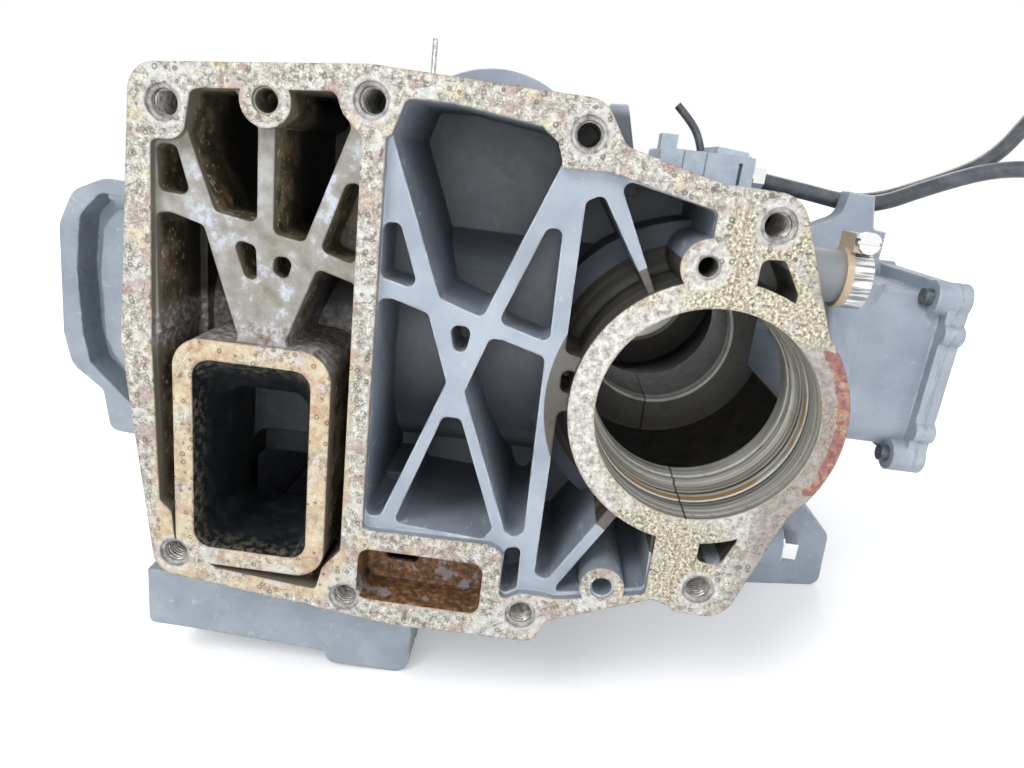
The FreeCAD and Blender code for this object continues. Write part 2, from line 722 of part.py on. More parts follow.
def block_openings():
    """Everything that is cut out of the main casting, as one tool."""
    body = make_body("block_openings")
    pad(body, "beyond_the_split", "front", [rectangle(0, -150.0, 120.0, 150.0)], -5.0, block_len + 5.0)
    bore_line_cuts(body, "Revolution")
    reach = v.deck_half_height + 3.0
    beyond = rectangle(v.cover_front + 4.0, -v.deck_half_height - 3.0, v.cover_back + 5.0, reach)
    pad(body, "beyond_the_deck", "side", [beyond], -v.deck_reach - 20.0, -v.deck_reach)
    bolt = circle(v.starter_disc_x + 8.0, v.starter_disc_z + v.starter_disc_r - v.starter_rim - 2.0, 1.8)
    disc_end = v.starter_disc_y + v.starter_disc_thickness
    pad(body, "starter_bolt_hole", "front", [bolt], v.starter_disc_y - 5.0, disc_end + 5.0)
    for name, y in (("lower", lower_cylinder_y), ("upper", upper_cylinder_y)):
        pad(body, name + "_cylinder", "side", [circle(y, 0, liner_r)], -v.deck_reach - 5.0, -v.cylinder_r)
        port = rectangle(
            -v.exhaust_port_reach - v.port_height, y - v.port_width / 2,
            -v.exhaust_port_reach, y + v.port_width / 2,
        )
        pad(body, name + "_exhaust_port", "top", [port], v.gallery_top - 1.0, -v.cylinder_r / 2)
    wall = v.chest_wall
    gallery = rectangle(
        v.chest_left + wall, v.cover_front + wall * 2, v.chest_right - wall, v.cover_back - wall, 5.0,
    )
    pad(body, "exhaust_gallery", "top", [gallery], v.chest_face - 5.0, v.gallery_top)
    duct_openings(body)
    drain_box = rectangle(v.drain_left, v.drain_bottom, v.drain_right, v.drain_top, v.drain_corner)
    pad(body, "drain_pocket", "front", [drain_box], -5.0, v.drain_depth)
    slot = rectangle(v.drain_slot_left, v.drain_slot_bottom, v.drain_slot_right, v.drain_top - 0.4, 2.0)
    pad(body, "drain_slot", "front", [slot], v.drain_depth - 1.0, v.drain_slot_depth)
    threads = [place for place in threaded_holes.values() if place[0].value < 0]
    pad(body, "hole_mouths", "front", [circle(x, z, v.mouth_r) for x, z in threads], -5.0, v.mouth_depth)
    pad(body, "hole_threads", "front", [circle(x, z, v.thread_r) for x, z in threads], -5.0, v.thread_len)
    dowels = [circle(x, z, v.dowel_hole_r) for x, z in dowel_holes.values()]
    dowels += [circle(x, z, v.pilot_hole_r) for x, z in pilot_hole.values()]
    pad(body, "dowel_holes", "front", dowels, -5.0, v.dowel_hole_len)
    mouths = [circle(x, z, v.dowel_hole_r + v.dowel_mouth) for x, z in dowel_holes.values()]
    mouths += [circle(x, z, v.pilot_hole_r + v.dowel_mouth) for x, z in pilot_hole.values()]
    pad(body, "dowel_mouths", "front", mouths, -5.0, v.mouth_depth)
    bolts = [circle(y, z, v.m8_r) for y, z in crankcase_bolt_places()]
    pad(body, "crankcase_threads", "side", bolts, -v.split_flange, 1.0)
    pins = [circle(y, -v.split_dowel_z, v.split_dowel_r) for y in split_dowel_places()]
    pad(body, "split_pin_holes", "side", pins, -v.split_dowel_len / 2, 1.0)
    head_threads = [circle(y, z, v.m8_r) for y, z in head_bolt_places()]
    pad(body, "head_threads", "side", head_threads, -v.deck_reach - 5.0, v.deck_flange - v.deck_reach - 2.0)
    cover_threads = [circle(x, y, v.m6_r) for x, y in cover_bolt_places()]
    pad(body, "cover_threads", "top", cover_threads, v.chest_face - 5.0, v.chest_face + v.chest_flange - 0.8)
    pad(body, "rod_seat", "top", [circle(v.rod_x, v.rod_y, v.rod_r)], v.rod_seat, v.rod_top)
    return body


def duct_openings(body):
    """Exhaust way: a rectangular mouth that narrows to the throat and turns down to the gallery."""
    wall = v.duct_wall
    mouth = rectangle(
        v.duct_left + wall, v.duct_bottom + wall, v.duct_right - wall, v.duct_top - wall,
        v.duct_inner_corner,
    )
    throat = rectangle(
        v.duct_throat_left, v.duct_throat_bottom, v.duct_throat_right, v.duct_throat_top,
        v.duct_inner_corner,
    )
    funnel_start = draw(body, "duct_mouth_sketch", "front", [mouth], -0.5)
    funnel_end = draw(body, "duct_throat_sketch", "front", [throat], v.duct_throat_depth)
    funnel = body.newObject("PartDesign::AdditiveLoft", "duct_funnel")
    funnel.Profile = funnel_start
    funnel.Sections = [funnel_end]
    funnel.Ruled = True
    pad(body, "duct_throat", "front", [throat], v.duct_throat_depth - 1.0, v.duct_shelf_depth)
    lower = rectangle(
        v.duct_throat_left, v.duct_throat_bottom, v.duct_throat_right, v.duct_shelf_bottom,
        v.duct_inner_corner,
    )
    pad(body, "duct_lower_throat", "front", [lower], v.duct_throat_depth + 2.0, v.duct_depth)
    turn = rectangle(v.duct_throat_left, v.cover_front + v.chest_wall * 2, v.duct_throat_right, v.duct_depth)
    pad(body, "duct_turn", "top", [turn], v.chest_face, v.duct_throat_bottom + 4.0)


def crankcase_half():
    """The other half of the crankcase: rest of the mounting face, bolt feet, reed box and hose boss."""
    body = new_body("crankcase_half")
    pad(body, "skirt", "front", [loop(outlines["crankcase_rim"])], 0, v.skirt_depth)
    for name, corners in crankcase_windows.items():
        pocket(body, "window_" + name, "front", [loop(corners)], 0, v.shallow_depth)
    bore_line_walls(body)
    flange = rectangle(-v.split_flange, v.split_bottom, v.split_flange, v.split_top, 6.0)
    pad(body, "split_plate", "front", [flange], v.skirt_depth - v.floor_wall, block_len)
    for name, y in (("near", v.foot_front), ("far", v.foot_bolt_far - v.foot_len / 2)):
        pad(body, name + "_foot", "front", [loop(outlines["foot"])], y, y + v.foot_len)
    seats = [circle(y, v.lower_bolt_z, v.seat_boss_r) for y in (v.foot_bolt_near, v.foot_bolt_far)]
    pad(body, "lower_seats", "side", seats, 0, v.seat_reach)
    seats = [circle(y, v.upper_bolt_z, v.m8_flange_r) for y in upper_bolt_rows()]
    pad(body, "upper_seats", "side", seats, 0, v.upper_seat_reach)
    box = rectangle(v.intake_front, v.intake_bottom, v.intake_back, v.intake_top, 10.0)
    pad(body, "reed_box", "side", [box], v.bore_r, v.intake_face)
    lip = intake_outline()
    pad(body, "intake_flange", "side", [lip], v.intake_face - v.intake_flange, v.intake_face)
    lobes = [circle(y, z, v.intake_lobe_r) for y, z in intake_bolt_places()]
    pad(body, "intake_lobes", "side", lobes, v.intake_face - v.intake_boss, v.intake_face)
    pad(body, "intake_ears", "side", intake_ears(), v.intake_face - v.intake_flange, v.intake_face)
    pillar = circle(v.pillar_x, v.pillar_y, v.pillar_r)
    pad(body, "pillar", "top", [pillar], v.intake_bottom, v.intake_top + 2.5)
    pad(body, "cable_horn", "front", [loop(outlines["horn"])], 80.0, 89.0)

    bore_line_cuts(body, "Groove")
    recesses = [circle(y, v.lower_bolt_z, v.recess_r) for y in (v.foot_bolt_near, v.foot_bolt_far)]
    pocket(body, "bolt_recesses", "side", recesses, v.seat_reach, v.seat_reach + 40.0)
    bolt_holes = [circle(y, z, v.m8_r + v.hole_clearance) for y, z in crankcase_bolt_places()]
    pocket(body, "bolt_holes", "side", bolt_holes, 0, v.seat_reach + 1.0)
    wall = v.intake_wall
    opening = rectangle(
        v.intake_front + wall, v.intake_bottom + wall, v.intake_back - wall, v.intake_top - wall, 6.0,
    )
    pocket(body, "reed_opening", "side", [opening], v.chamber_r - 5.0, v.intake_face)
    intake_threads = [circle(y, z, v.m6_r) for y, z in intake_bolt_places()]
    pocket(body, "intake_threads", "side", intake_threads, v.intake_face - 12.0, v.intake_face)
    pins = [circle(y, -v.split_dowel_z, v.split_dowel_r) for y in split_dowel_places()]
    pocket(body, "split_pin_holes", "side", pins, 0, v.split_dowel_len / 2)
    face_holes(body, [place for place in threaded_holes.values() if place[0].value > 0])
    relief = circle(v.joint_y, v.joint_z, v.joint_relief_r)
    pocket(body, "joint_relief", "side", [relief], v.joint_root + 3.0, v.joint_root + 50.0)
    socket = circle(v.joint_y, v.joint_z, v.nipple_r)
    pocket(body, "nipple_socket", "side", [socket], v.joint_root - 12.0, v.joint_root + 20.0)
    beyond = rectangle(-120.0, -150.0, 0, 150.0)
    pocket(body, "split_cut", "front", [beyond], 0, block_len + 5.0)
    return body


def intake_outline():
    return rectangle(
        v.intake_front - v.intake_lip, v.intake_bottom - v.intake_lip, v.intake_back + v.intake_lip,
        v.intake_top + v.intake_lip, 9.0,
    )


def intake_ears():
    """Two small ears on the near edge of the intake flange."""
    y = v.intake_front - v.intake_lip
    return [circle(y + 1.0, z, v.intake_ear_r) for z in (v.intake_ear_top, v.intake_ear_low)]


def upper_bolt_rows():
    return [v.upper_bolt_near, v.upper_bolt_near + 38.0, v.foot_bolt_far - 30.0, block_len - 14.0]


def crankcase_bolt_places():
    upper = [(y, v.upper_bolt_z) for y in upper_bolt_rows()]
    return upper + [(v.foot_bolt_near, v.lower_bolt_z), (v.foot_bolt_far, v.lower_bolt_z)]


def split_dowel_places():
    return [v.upper_bolt_near + 8.0, v.foot_bolt_far + 36.0]


def head_bolt_places():
    row = v.deck_half_height - v.head_bolt_inset
    gap = (v.head_back - v.head_front - v.head_bolt_inset * 4) / 3
    columns = [v.head_front + v.head_bolt_inset * 2 + gap * k for k in range(4)]
    return [(y, side * row) for y in columns for side in (as_size(1), as_size(-1))]


def cover_bolt_places():
    left = v.cover_left + v.cover_bolt_inset
    right = v.cover_right - v.cover_bolt_inset
    gap = (v.cover_back - v.cover_front - v.cover_bolt_inset * 4) / 3
    rows = [v.cover_front + v.cover_bolt_inset * 2 + gap * k for k in range(4)]
    return [(x, y) for y in rows for x in (left, right)]


def intake_bolt_places():
    low = v.intake_bottom - 1.0
    gap = (v.intake_back - v.intake_front) / 3
    return [(v.intake_front + gap * k, z) for k in range(4) for z in (low, v.intake_bolt_z + 2.5)]


def cylinder_liners():
    """Cast iron sleeves with their exhaust and transfer ports."""
    for name, y in (("lower", lower_cylinder_y), ("upper", upper_cylinder_y)):
        body = new_body(name + "_liner")
        start = -v.deck_reach
        pad(body, "sleeve", "side", [circle(y, 0, liner_r)], start, start + v.liner_len)
        pocket(body, "bore", "side", [circle(y, 0, v.cylinder_r)], start, start + v.liner_len)
        low = y - v.port_width / 2
        high = y + v.port_width / 2
        port = rectangle(-v.exhaust_port_reach - v.port_height, low, -v.exhaust_port_reach, high, 2.0)
        pocket(body, "exhaust_port", "top", [port], -liner_r, -v.cylinder_r / 2)
        port = rectangle(-v.transfer_port_reach - v.port_height, low, -v.transfer_port_reach, high, 2.0)
        pocket(body, "transfer_port", "top", [port], v.cylinder_r / 2, liner_r)


def head_parts():
    """Head gasket, cylinder head and its bolts."""
    body = new_body("head_gasket")
    front = v.cover_front + v.floor_wall
    sheet_outline = rectangle(front, -v.deck_half_height, v.cover_back, v.deck_half_height, 12.0)
    pad(body, "sheet", "side", [sheet_outline], head_face, -v.deck_reach)
    holes = [circle(y, 0, v.cylinder_r) for y in (lower_cylinder_y, upper_cylinder_y)]
    holes += [circle(y, z, v.m8_r + v.hole_clearance) for y, z in head_bolt_places()]
    pocket(body, "holes", "side", holes, head_face, -v.deck_reach)

    body = new_body("cylinder_head")
    plate = rectangle(v.head_front, -v.deck_half_height, v.head_back, v.deck_half_height, 12.0)
    pad(body, "plate", "side", [plate], head_outer, head_face)
    pad(body, "shell", "front", [loop(outlines["head_shell"])], v.head_front, v.head_back)
    pocket(body, "front_dish", "front", [loop(outlines["head_inside"])], v.head_front, v.head_front + 12.0)
    pad(body, "front_core", "front", [loop(outlines["head_core"])], v.head_front + 6.0, v.head_front + 12.0)
    domes = [circle(y, 0, v.dome_r) for y in (lower_cylinder_y, upper_cylinder_y)]
    pocket(body, "combustion_chambers", "side", domes, head_face - v.dome_depth, head_face)
    plugs = [circle(y, 0, v.plug_hole_r) for y in (lower_cylinder_y, upper_cylinder_y)]
    pocket(body, "plug_holes", "side", plugs, head_face - 50.0, head_face)
    recesses = [circle(y, z, v.m8_flange_r + 0.9) for y, z in head_bolt_places()]
    pocket(body, "bolt_recesses", "side", recesses, head_outer - 40.0, head_outer)
    holes = [circle(y, z, v.m8_r + v.hole_clearance) for y, z in head_bolt_places()]
    pocket(body, "bolt_holes", "side", holes, head_outer, head_face)
    bolt_group("head_bolts", "m8", [(head_outer, y, z) for y, z in head_bolt_places()], "left", 22.0)


def exhaust_parts():
    """Exhaust gasket, baffle plate and cover under the chest, with their bolts."""
    holes = [circle(x, y, v.m6_r + v.hole_clearance) for x, y in cover_bolt_places()]
    for name, low, thickness in (
        ("exhaust_gasket", v.chest_face - v.gasket, v.gasket), ("exhaust_baffle", cover_top, v.baffle),
    ):
        body = new_body(name)
        plate = rectangle(v.cover_left, v.cover_front + v.chest_wall, v.cover_right, v.cover_back, 5.0)
        pad(body, "plate", "top", [plate], low, low + thickness)
        wall = v.chest_wall
        window = rectangle(
            v.chest_left + wall, v.cover_front + wall * 2, v.chest_right - wall, v.cover_back - wall, 5.0,
        )
        if name == "exhaust_baffle":
            window = rectangle(
                v.chest_left + wall * 2, v.cover_front + wall * 3, v.chest_right - wall * 2,
                v.duct_depth + wall, 4.0,
            )
        pocket(body, "window", "top", [window], low, low + thickness)
        pocket(body, "bolt_holes", "top", holes, low, low + thickness)

    body = new_body("exhaust_cover")
    pad(body, "profile", "front", [loop(outlines["cover_profile"])], v.cover_front, v.cover_back)
    depth = v.cover_wall
    wall = v.chest_wall
    inner = rectangle(
        v.chest_left + wall, v.cover_front + wall * 2, v.chest_right - wall, v.cover_back - wall, 5.0,
    )
    pocket(body, "hollow", "top", [inner], v.cover_seat + depth, v.chest_face)
    pocket(body, "bolt_holes", "top", holes, v.cover_seat - 1.0, v.chest_face)
    recesses = [circle(x, y, v.m6_flange_r + 0.9) for x, y in cover_bolt_places()]
    pocket(body, "bolt_recesses", "top", recesses, v.cover_seat - 20.0, v.cover_seat)
    seats = [(x, y, v.cover_seat) for x, y in cover_bolt_places()]
    return body, seats


def bolt_group(label, kind, places, direction, length):
    """Hexagon flange bolts of one kind, as one node of separate solids, heads facing the direction."""
    radius = getattr(v, kind + "_r")
    flats = getattr(v, kind + "_flats")
    head = getattr(v, kind + "_head")
    flange_r = getattr(v, kind + "_flange_r")
    flange = getattr(v, kind + "_flange")
    turns = {
        "left": FreeCAD.Rotation(FreeCAD.Vector(0, 1, 0), -90),
        "right": FreeCAD.Rotation(FreeCAD.Vector(0, 1, 0), 90),
        "down": FreeCAD.Rotation(FreeCAD.Vector(1, 0, 0), 180),
    }
    bolts = []
    for number, place in enumerate(places, 1):
        shank = doc.addObject("Part::Cylinder", "%s_shank_%d" % (label, number))
        shank.Radius = radius.value
        shank.setExpression("Radius", radius.formula)
        shank.Height = length
        shank.Placement.Base.z = -length
        washer = doc.addObject("Part::Cylinder", "%s_flange_%d" % (label, number))
        washer.setExpression("Radius", flange_r.formula)
        washer.setExpression("Height", flange.formula)
        hexagon = doc.addObject("Part::Prism", "%s_hexagon_%d" % (label, number))
        hexagon.Polygon = 6
        hexagon.setExpression("Circumradius", (flats / math.sqrt(3)).formula)
        hexagon.setExpression("Height", (flange + head).formula)
        bolt = doc.addObject("Part::MultiFuse", "%s_bolt_%d" % (label, number))
        bolt.Shapes = [shank, washer, hexagon]
        x, y, z = [as_size(value) for value in place]
        bolt.Placement = FreeCAD.Placement(FreeCAD.Vector(x.value, y.value, z.value), turns[direction])
        bolt.setExpression("Placement.Base.x", x.formula)
        bolt.setExpression("Placement.Base.y", y.formula)
        bolt.setExpression("Placement.Base.z", z.formula)
        bolts.append(bolt)
    group = doc.addObject("Part::Compound", label)
    group.Links = bolts
    group.Label = label
    nodes.append(group)
    return group


def intake_parts():
    """Gasket and reed plate on the intake face, with their screws."""
    for name, start, thickness in (
        ("intake_gasket", v.intake_face, v.gasket), ("reed_plate", reed_face, v.reed_plate),
    ):
        body = new_body(name)
        pad(body, "plate", "side", [intake_outline()], start, start + thickness)
        lobes = [circle(y, z, v.intake_lobe_r) for y, z in intake_bolt_places()]
        pad(body, "lobes", "side", lobes, start, start + thickness)
        pad(body, "ears", "side", intake_ears(), start, start + thickness)
        wall = v.intake_wall * 2
        middle = (v.intake_front + v.intake_back) / 2
        bottom = v.intake_bottom + wall
        windows = [
            rectangle(v.intake_front + wall, bottom, middle - wall / 2, v.intake_top - wall, 5.0),
            rectangle(middle + wall / 2, bottom, v.intake_back - wall, v.intake_top - wall, 5.0),
        ]
        pocket(body, "windows", "side", windows, start, start + thickness)
        holes = [circle(y, z, v.m6_r + v.hole_clearance) for y, z in intake_bolt_places()]
        pocket(body, "bolt_holes", "side", holes, start, start + thickness)
        if name == "reed_plate":
            sinks = [circle(y, z, v.cap_screw_r + v.hole_clearance) for y, z in intake_bolt_places()]
            pocket(body, "head_sinks", "side", sinks, reed_outer - v.cap_screw_seat, reed_outer)
    cap_screws("intake_bolts", [(reed_outer - v.cap_screw_seat, y, z) for y, z in intake_bolt_places()])


def cap_screws(label, places):
    """Low cap screws sunk in the intake plate, as one node of separate solids, heads facing +X."""
    screws = []
    turn = FreeCAD.Rotation(FreeCAD.Vector(0, 1, 0), 90)
    for number, place in enumerate(places, 1):
        shank = doc.addObject("Part::Cylinder", "%s_shank_%d" % (label, number))
        shank.setExpression("Radius", v.m6_r.formula)
        shank.setExpression("Height", v.intake_screw_len.formula)
        shank.setExpression("Placement.Base.z", (-v.intake_screw_len).formula)
        head = doc.addObject("Part::Cylinder", "%s_head_%d" % (label, number))
        head.setExpression("Radius", v.cap_screw_r.formula)
        head.setExpression("Height", v.cap_screw_head.formula)
        whole = doc.addObject("Part::MultiFuse", "%s_whole_%d" % (label, number))
        whole.Shapes = [shank, head]
        socket = doc.addObject("Part::Prism", "%s_socket_%d" % (label, number))
        socket.Polygon = 6
        socket.setExpression("Circumradius", (v.cap_screw_r * 0.55).formula)
        socket.setExpression("Height", (v.cap_screw_head + 1.0).formula)
        socket.setExpression("Placement.Base.z", (v.cap_screw_head * 0.4).formula)
        screw = doc.addObject("Part::Cut", "%s_screw_%d" % (label, number))
        screw.Base = whole
        screw.Tool = socket
        x, y, z = [as_size(value) for value in place]
        screw.Placement = FreeCAD.Placement(FreeCAD.Vector(x.value, y.value, z.value), turn)
        screw.setExpression("Placement.Base.x", x.formula)
        screw.setExpression("Placement.Base.y", y.formula)
        screw.setExpression("Placement.Base.z", z.formula)
        screws.append(screw)
    group = doc.addObject("Part::Compound", label)
    group.Links = screws
    group.Label = label
    nodes.append(group)


def split_parts():
    """Crankcase bolts and the two alignment pins between the halves."""
    lower = [(v.seat_reach, y, v.lower_bolt_z) for y in (v.foot_bolt_near, v.foot_bolt_far)]
    bolt_group("foot_bolts", "m8", lower, "right", v.seat_reach.value + v.split_flange.value - 2.0)
    upper = [(v.upper_seat_reach, y, v.upper_bolt_z) for y in upper_bolt_rows()]
    upper_length = v.upper_seat_reach.value + v.split_flange.value - 2.0
    bolt_group("crankcase_bolts", "m8", upper, "right", upper_length)
    pins = []
    for number, y in enumerate(split_dowel_places(), 1):
        pin = doc.addObject("Part::Cylinder", "alignment_pin_%d" % number)
        pin.setExpression("Radius", v.split_dowel_r.formula)
        pin.setExpression("Height", (v.split_dowel_len - 0.4).formula)
        place = FreeCAD.Vector(-v.split_dowel_len.value / 2 + 0.2, y.value, -v.split_dowel_z.value)
        pin.Placement = FreeCAD.Placement(place, FreeCAD.Rotation(FreeCAD.Vector(0, 1, 0), 90))
        pin.setExpression("Placement.Base.y", y.formula)
        pins.append(pin)
    group = doc.addObject("Part::Compound", "alignment_pins")
    group.Links = pins
    group.Label = "alignment_pins"
    nodes.append(group)


def hose_joint():
    """Nipple in the crankcase skirt, the short grey hose on it and its worm-drive clamp."""
    y = v.joint_y
    z = v.joint_z
    body = new_body("hose_nipple")
    start = v.joint_root - 12.0
    end = v.clamp_x + v.clamp_width
    pad(body, "tube", "side", [circle(y, z, v.nipple_r)], start, end)
    pocket(body, "way", "side", [circle(y, z, v.nipple_r - v.nipple_wall)], start, end)
    body = new_body("joint_hose")
    pad(body, "tube", "side", [circle(y, z, v.joint_hose_r)], v.joint_root + 3.0, v.joint_hose_end)
    pocket(body, "way", "side", [circle(y, z, v.nipple_r)], v.joint_root + 3.0, v.joint_hose_end)
    body = new_body("hose_clamp")
    band_r = v.joint_hose_r + v.clamp_wall
    pad(body, "band", "side", [circle(y, z, band_r)], v.clamp_x, v.clamp_x + v.clamp_width)
    housing = rectangle(y - 7.0, z + v.joint_hose_r, y + 6.0, z + band_r + 5.0, 1.0)
    pad(body, "housing", "side", [housing], v.clamp_x + 1.0, v.clamp_x + v.clamp_width - 1.0)
    pocket(body, "inside", "side", [circle(y, z, v.joint_hose_r)], v.clamp_x, v.clamp_x + v.clamp_width)
    screw_z = z + band_r + 2.6
    screw_x = v.clamp_x + v.clamp_width / 2
    way = circle(screw_x, screw_z, v.clamp_screw_r - 1.2)
    pocket(body, "screw_way", "front", [way], y - 10.0, y + 10.0)
    body = new_body("clamp_screw")
    pad(body, "stem", "front", [circle(screw_x, screw_z, v.clamp_screw_r - 1.2)], y - 7.0, y + 6.0)
    pad(body, "head", "front", [circle(screw_x, screw_z, v.clamp_screw_r)], y - 11.0, y - 7.0)
    slot = rectangle(screw_x - v.clamp_screw_r, screw_z - 0.5, screw_x + v.clamp_screw_r, screw_z + 0.5)
    pocket(body, "slot", "front", [slot], y - 11.0, y - 9.6)


def top_parts():
    """Coil bracket with its screw, and the thin link rod."""
    body = new_body("coil_bracket")
    low = v.split_top
    end = v.bracket_front + v.bracket_len
    block = rectangle(v.bracket_left, low, v.bracket_right, v.bracket_top, 1.0)
    pad(body, "block", "front", [block], v.bracket_front, end)
    tab = rectangle(v.bracket_left + 0.2, v.bracket_top - 2.0, v.bracket_left + 6.4, v.bracket_top + 5.2)
    pad(body, "tab", "front", [tab], v.bracket_front + 6.0, v.bracket_front + 16.0)
    cap = loop([
        (v.bracket_right - 14.0, v.bracket_top - 2.0, 0.0),
        (v.bracket_right - 2.0, v.bracket_top - 2.0, 0.0),
        (v.bracket_right - 2.0, v.bracket_top + 1.6, 0.0),
        (v.bracket_right - 14.0, v.bracket_top + 2.6, 0.0),
    ])
    pad(body, "cap", "front", [cap], v.bracket_front + 4.0, end - 4.0)
    slots = [rectangle(v.bracket_right - 6.0, low + 2.0, v.bracket_right - 4.6, v.bracket_top - 2.6)]
    pocket(body, "slot", "front", slots, v.bracket_front, v.bracket_front + 4.0)
    grooves = [
        rectangle(v.bracket_left + 8.4, low, v.bracket_left + 9.0, v.bracket_top),
        rectangle(v.bracket_left + 16.8, low, v.bracket_left + 17.4, v.bracket_top),
    ]
    pocket(body, "joint_grooves", "front", grooves, v.bracket_front, v.bracket_front + 0.8)
    hole = circle(v.bracket_front + 10.0, v.bracket_top - 6.0, v.m6_r)
    pocket(body, "screw_hole", "side", [hole], v.bracket_right - 10.0, v.bracket_right)
    place = (v.bracket_right, v.bracket_front + 10.0, v.bracket_top - 6.0)
    bolt_group("bracket_bolt", "m6", [place], "right", 9.5)

    rod = doc.addObject("Part::Cylinder", "link_rod")
    rod.setExpression("Radius", v.rod_r.formula)
    rod.setExpression("Height", (v.rod_top - v.rod_seat).formula)
    rod_foot = FreeCAD.Vector(v.rod_x.value, v.rod_y.value, v.rod_seat.value)
    rod.Placement = FreeCAD.Placement(rod_foot, FreeCAD.Rotation())
    rod.Label = "link_rod"
    nodes.append(rod)


def tangent_path(points):
    """Straight runs joined by tangent arcs, each as large as its two runs allow."""
    knots = [FreeCAD.Vector(*point) for point in points]
    edges = []
    here = knots[0]
    for before, corner, after in zip(knots, knots[1:], knots[2:]):
        back = before - corner
        on = after - corner
        setback = 0.45 * min(back.Length, on.Length)
        back.normalize()
        on.normalize()
        half_angle = math.acos(back.dot(on)) / 2
        radius = setback * math.tan(half_angle)
        middle = (back + on).normalize()
        start = corner + back * setback
        end = corner + on * setback
        crown = corner + middle * (radius / math.sin(half_angle) - radius)
        edges.append(Part.LineSegment(here, start).toShape())
        edges.append(Part.Arc(start, crown, end).toShape())
        radii.append(round(radius, 1))
        here = end
    edges.append(Part.LineSegment(here, knots[-1]).toShape())
    return Part.Wire(edges)


radii = []


def hose(label, points, radius):
    """A plain tube along its route; the volume is compared with section times length."""
    path = tangent_path(points)
    ahead = (FreeCAD.Vector(*points[1]) - FreeCAD.Vector(*points[0])).normalize()
    section = Part.Wire(Part.Circle(FreeCAD.Vector(*points[0]), ahead, radius.value).toShape())
    tube = path.makePipeShell([section], True, False)
    share = tube.Volume / (math.pi * radius.value ** 2 * path.Length)
    print(label, "length", round(path.Length, 1), "radii", radii, "volume share", round(share, 3))
    radii.clear()
    feature = doc.addObject("Part::Feature", label)
    feature.Shape = tube
    feature.Label = label
    nodes.append(feature)


cylinder_block()
crankcase_half()
cylinder_liners()
head_parts()
cover, cover_seats = exhaust_parts()
cover_bolt_len = v.chest_face + v.chest_flange - 1.2 - v.cover_seat
bolt_group("exhaust_cover_bolts", "m6", cover_seats, "down", cover_bolt_len.value)
intake_parts()
split_parts()
hose_joint()
top_parts()
hose("long_hose", HOSE_A, v.hose_r)
hose("branch_hose", HOSE_B, v.hose_r)
hose("thin_hose", THIN_HOSE, v.thin_hose_r)

doc.recompute()
lying = FreeCAD.Rotation(FreeCAD.Vector(0, 1, 0), v.lie_angle.value)
for node in nodes:
    node.Placement = FreeCAD.Placement(FreeCAD.Vector(0, 0, 0), lying).multiply(node.Placement)
doc.recompute()

for item in doc.Objects:
    if "Invalid" in item.State or "Error" in item.State:
        raise RuntimeError("%s failed: %s" % (item.Label, item.State))
os.makedirs("parts", exist_ok=True)
for node in nodes:
    shape = node.Shape
    if shape.isNull() or not shape.isValid():
        raise RuntimeError(node.Label + " has no valid shape")
    box = shape.BoundBox
    print(node.Label, len(shape.Solids), round(shape.Volume / 1000.0, 2), "cm3",
          [round(value, 1) for value in (box.XMin, box.YMin, box.ZMin, box.XMax, box.YMax, box.ZMax)])
    shape.exportStep("parts/" + node.Label + ".step")
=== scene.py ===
import math
import bpy
import numpy as np
from mathutils import Matrix, Vector


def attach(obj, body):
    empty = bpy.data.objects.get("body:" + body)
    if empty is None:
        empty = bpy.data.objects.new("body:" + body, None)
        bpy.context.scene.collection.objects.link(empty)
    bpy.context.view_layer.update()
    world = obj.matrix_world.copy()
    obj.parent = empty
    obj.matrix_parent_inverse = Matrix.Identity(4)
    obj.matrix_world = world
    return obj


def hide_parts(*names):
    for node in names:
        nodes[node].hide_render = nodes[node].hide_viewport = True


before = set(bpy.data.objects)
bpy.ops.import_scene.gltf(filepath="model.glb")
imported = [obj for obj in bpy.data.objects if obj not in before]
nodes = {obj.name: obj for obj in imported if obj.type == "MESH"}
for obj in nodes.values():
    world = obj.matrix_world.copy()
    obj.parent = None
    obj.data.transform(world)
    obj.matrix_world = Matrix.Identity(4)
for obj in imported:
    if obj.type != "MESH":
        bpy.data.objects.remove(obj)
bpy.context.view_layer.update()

scene = bpy.context.scene
LIE = math.radians(6.6)         # the casting lies turned by this angle about +Y
FLOOR = -0.1192                 # height of the surface it lies on, in metres
FLOOR_REACH = 6.0
SENSOR_WIDTH = 36.0
FOCAL_LENGTH = 740.0 / 1024.0 * SENSOR_WIDTH
SKY_STRENGTH = 0.57
GLOW_FROM, GLOW_TO = 0.35, 1.3  # metres from the part over which the floor turns from near to far
GLOW_NEAR, GLOW_FAR = 0.24, 0.50
EDGE_ROUNDING = 0.0012


def at(x, y, z):
    """A point of the drawing, in millimetres, as it lies in the row frame, in metres."""
    return Vector((x * math.cos(LIE) + z * math.sin(LIE), y, z * math.cos(LIE) - x * math.sin(LIE))) / 1000


# Camera
# Stands a little left of the crank bore and above it, close to the lower face, so the rear tapers strongly.
camera_data = bpy.data.cameras.new("camera")
camera_data.sensor_width = SENSOR_WIDTH
camera_data.lens = FOCAL_LENGTH
camera_data.clip_start = 0.005
camera = bpy.data.objects.new("camera", camera_data)
scene.collection.objects.link(camera)
right = Vector((0.998, 0.064, 0.0))
forward = Vector((-0.0612, 0.9549, -0.2905)).normalized()
up = right.cross(forward).normalized()
right = forward.cross(up)
turn = Matrix((right, up, -forward)).transposed()
camera.matrix_world = Matrix.Translation((-0.0468, -0.2218, 0.0778)) @ turn.to_4x4()
scene.camera = camera
scene.view_settings.view_transform = "Standard"

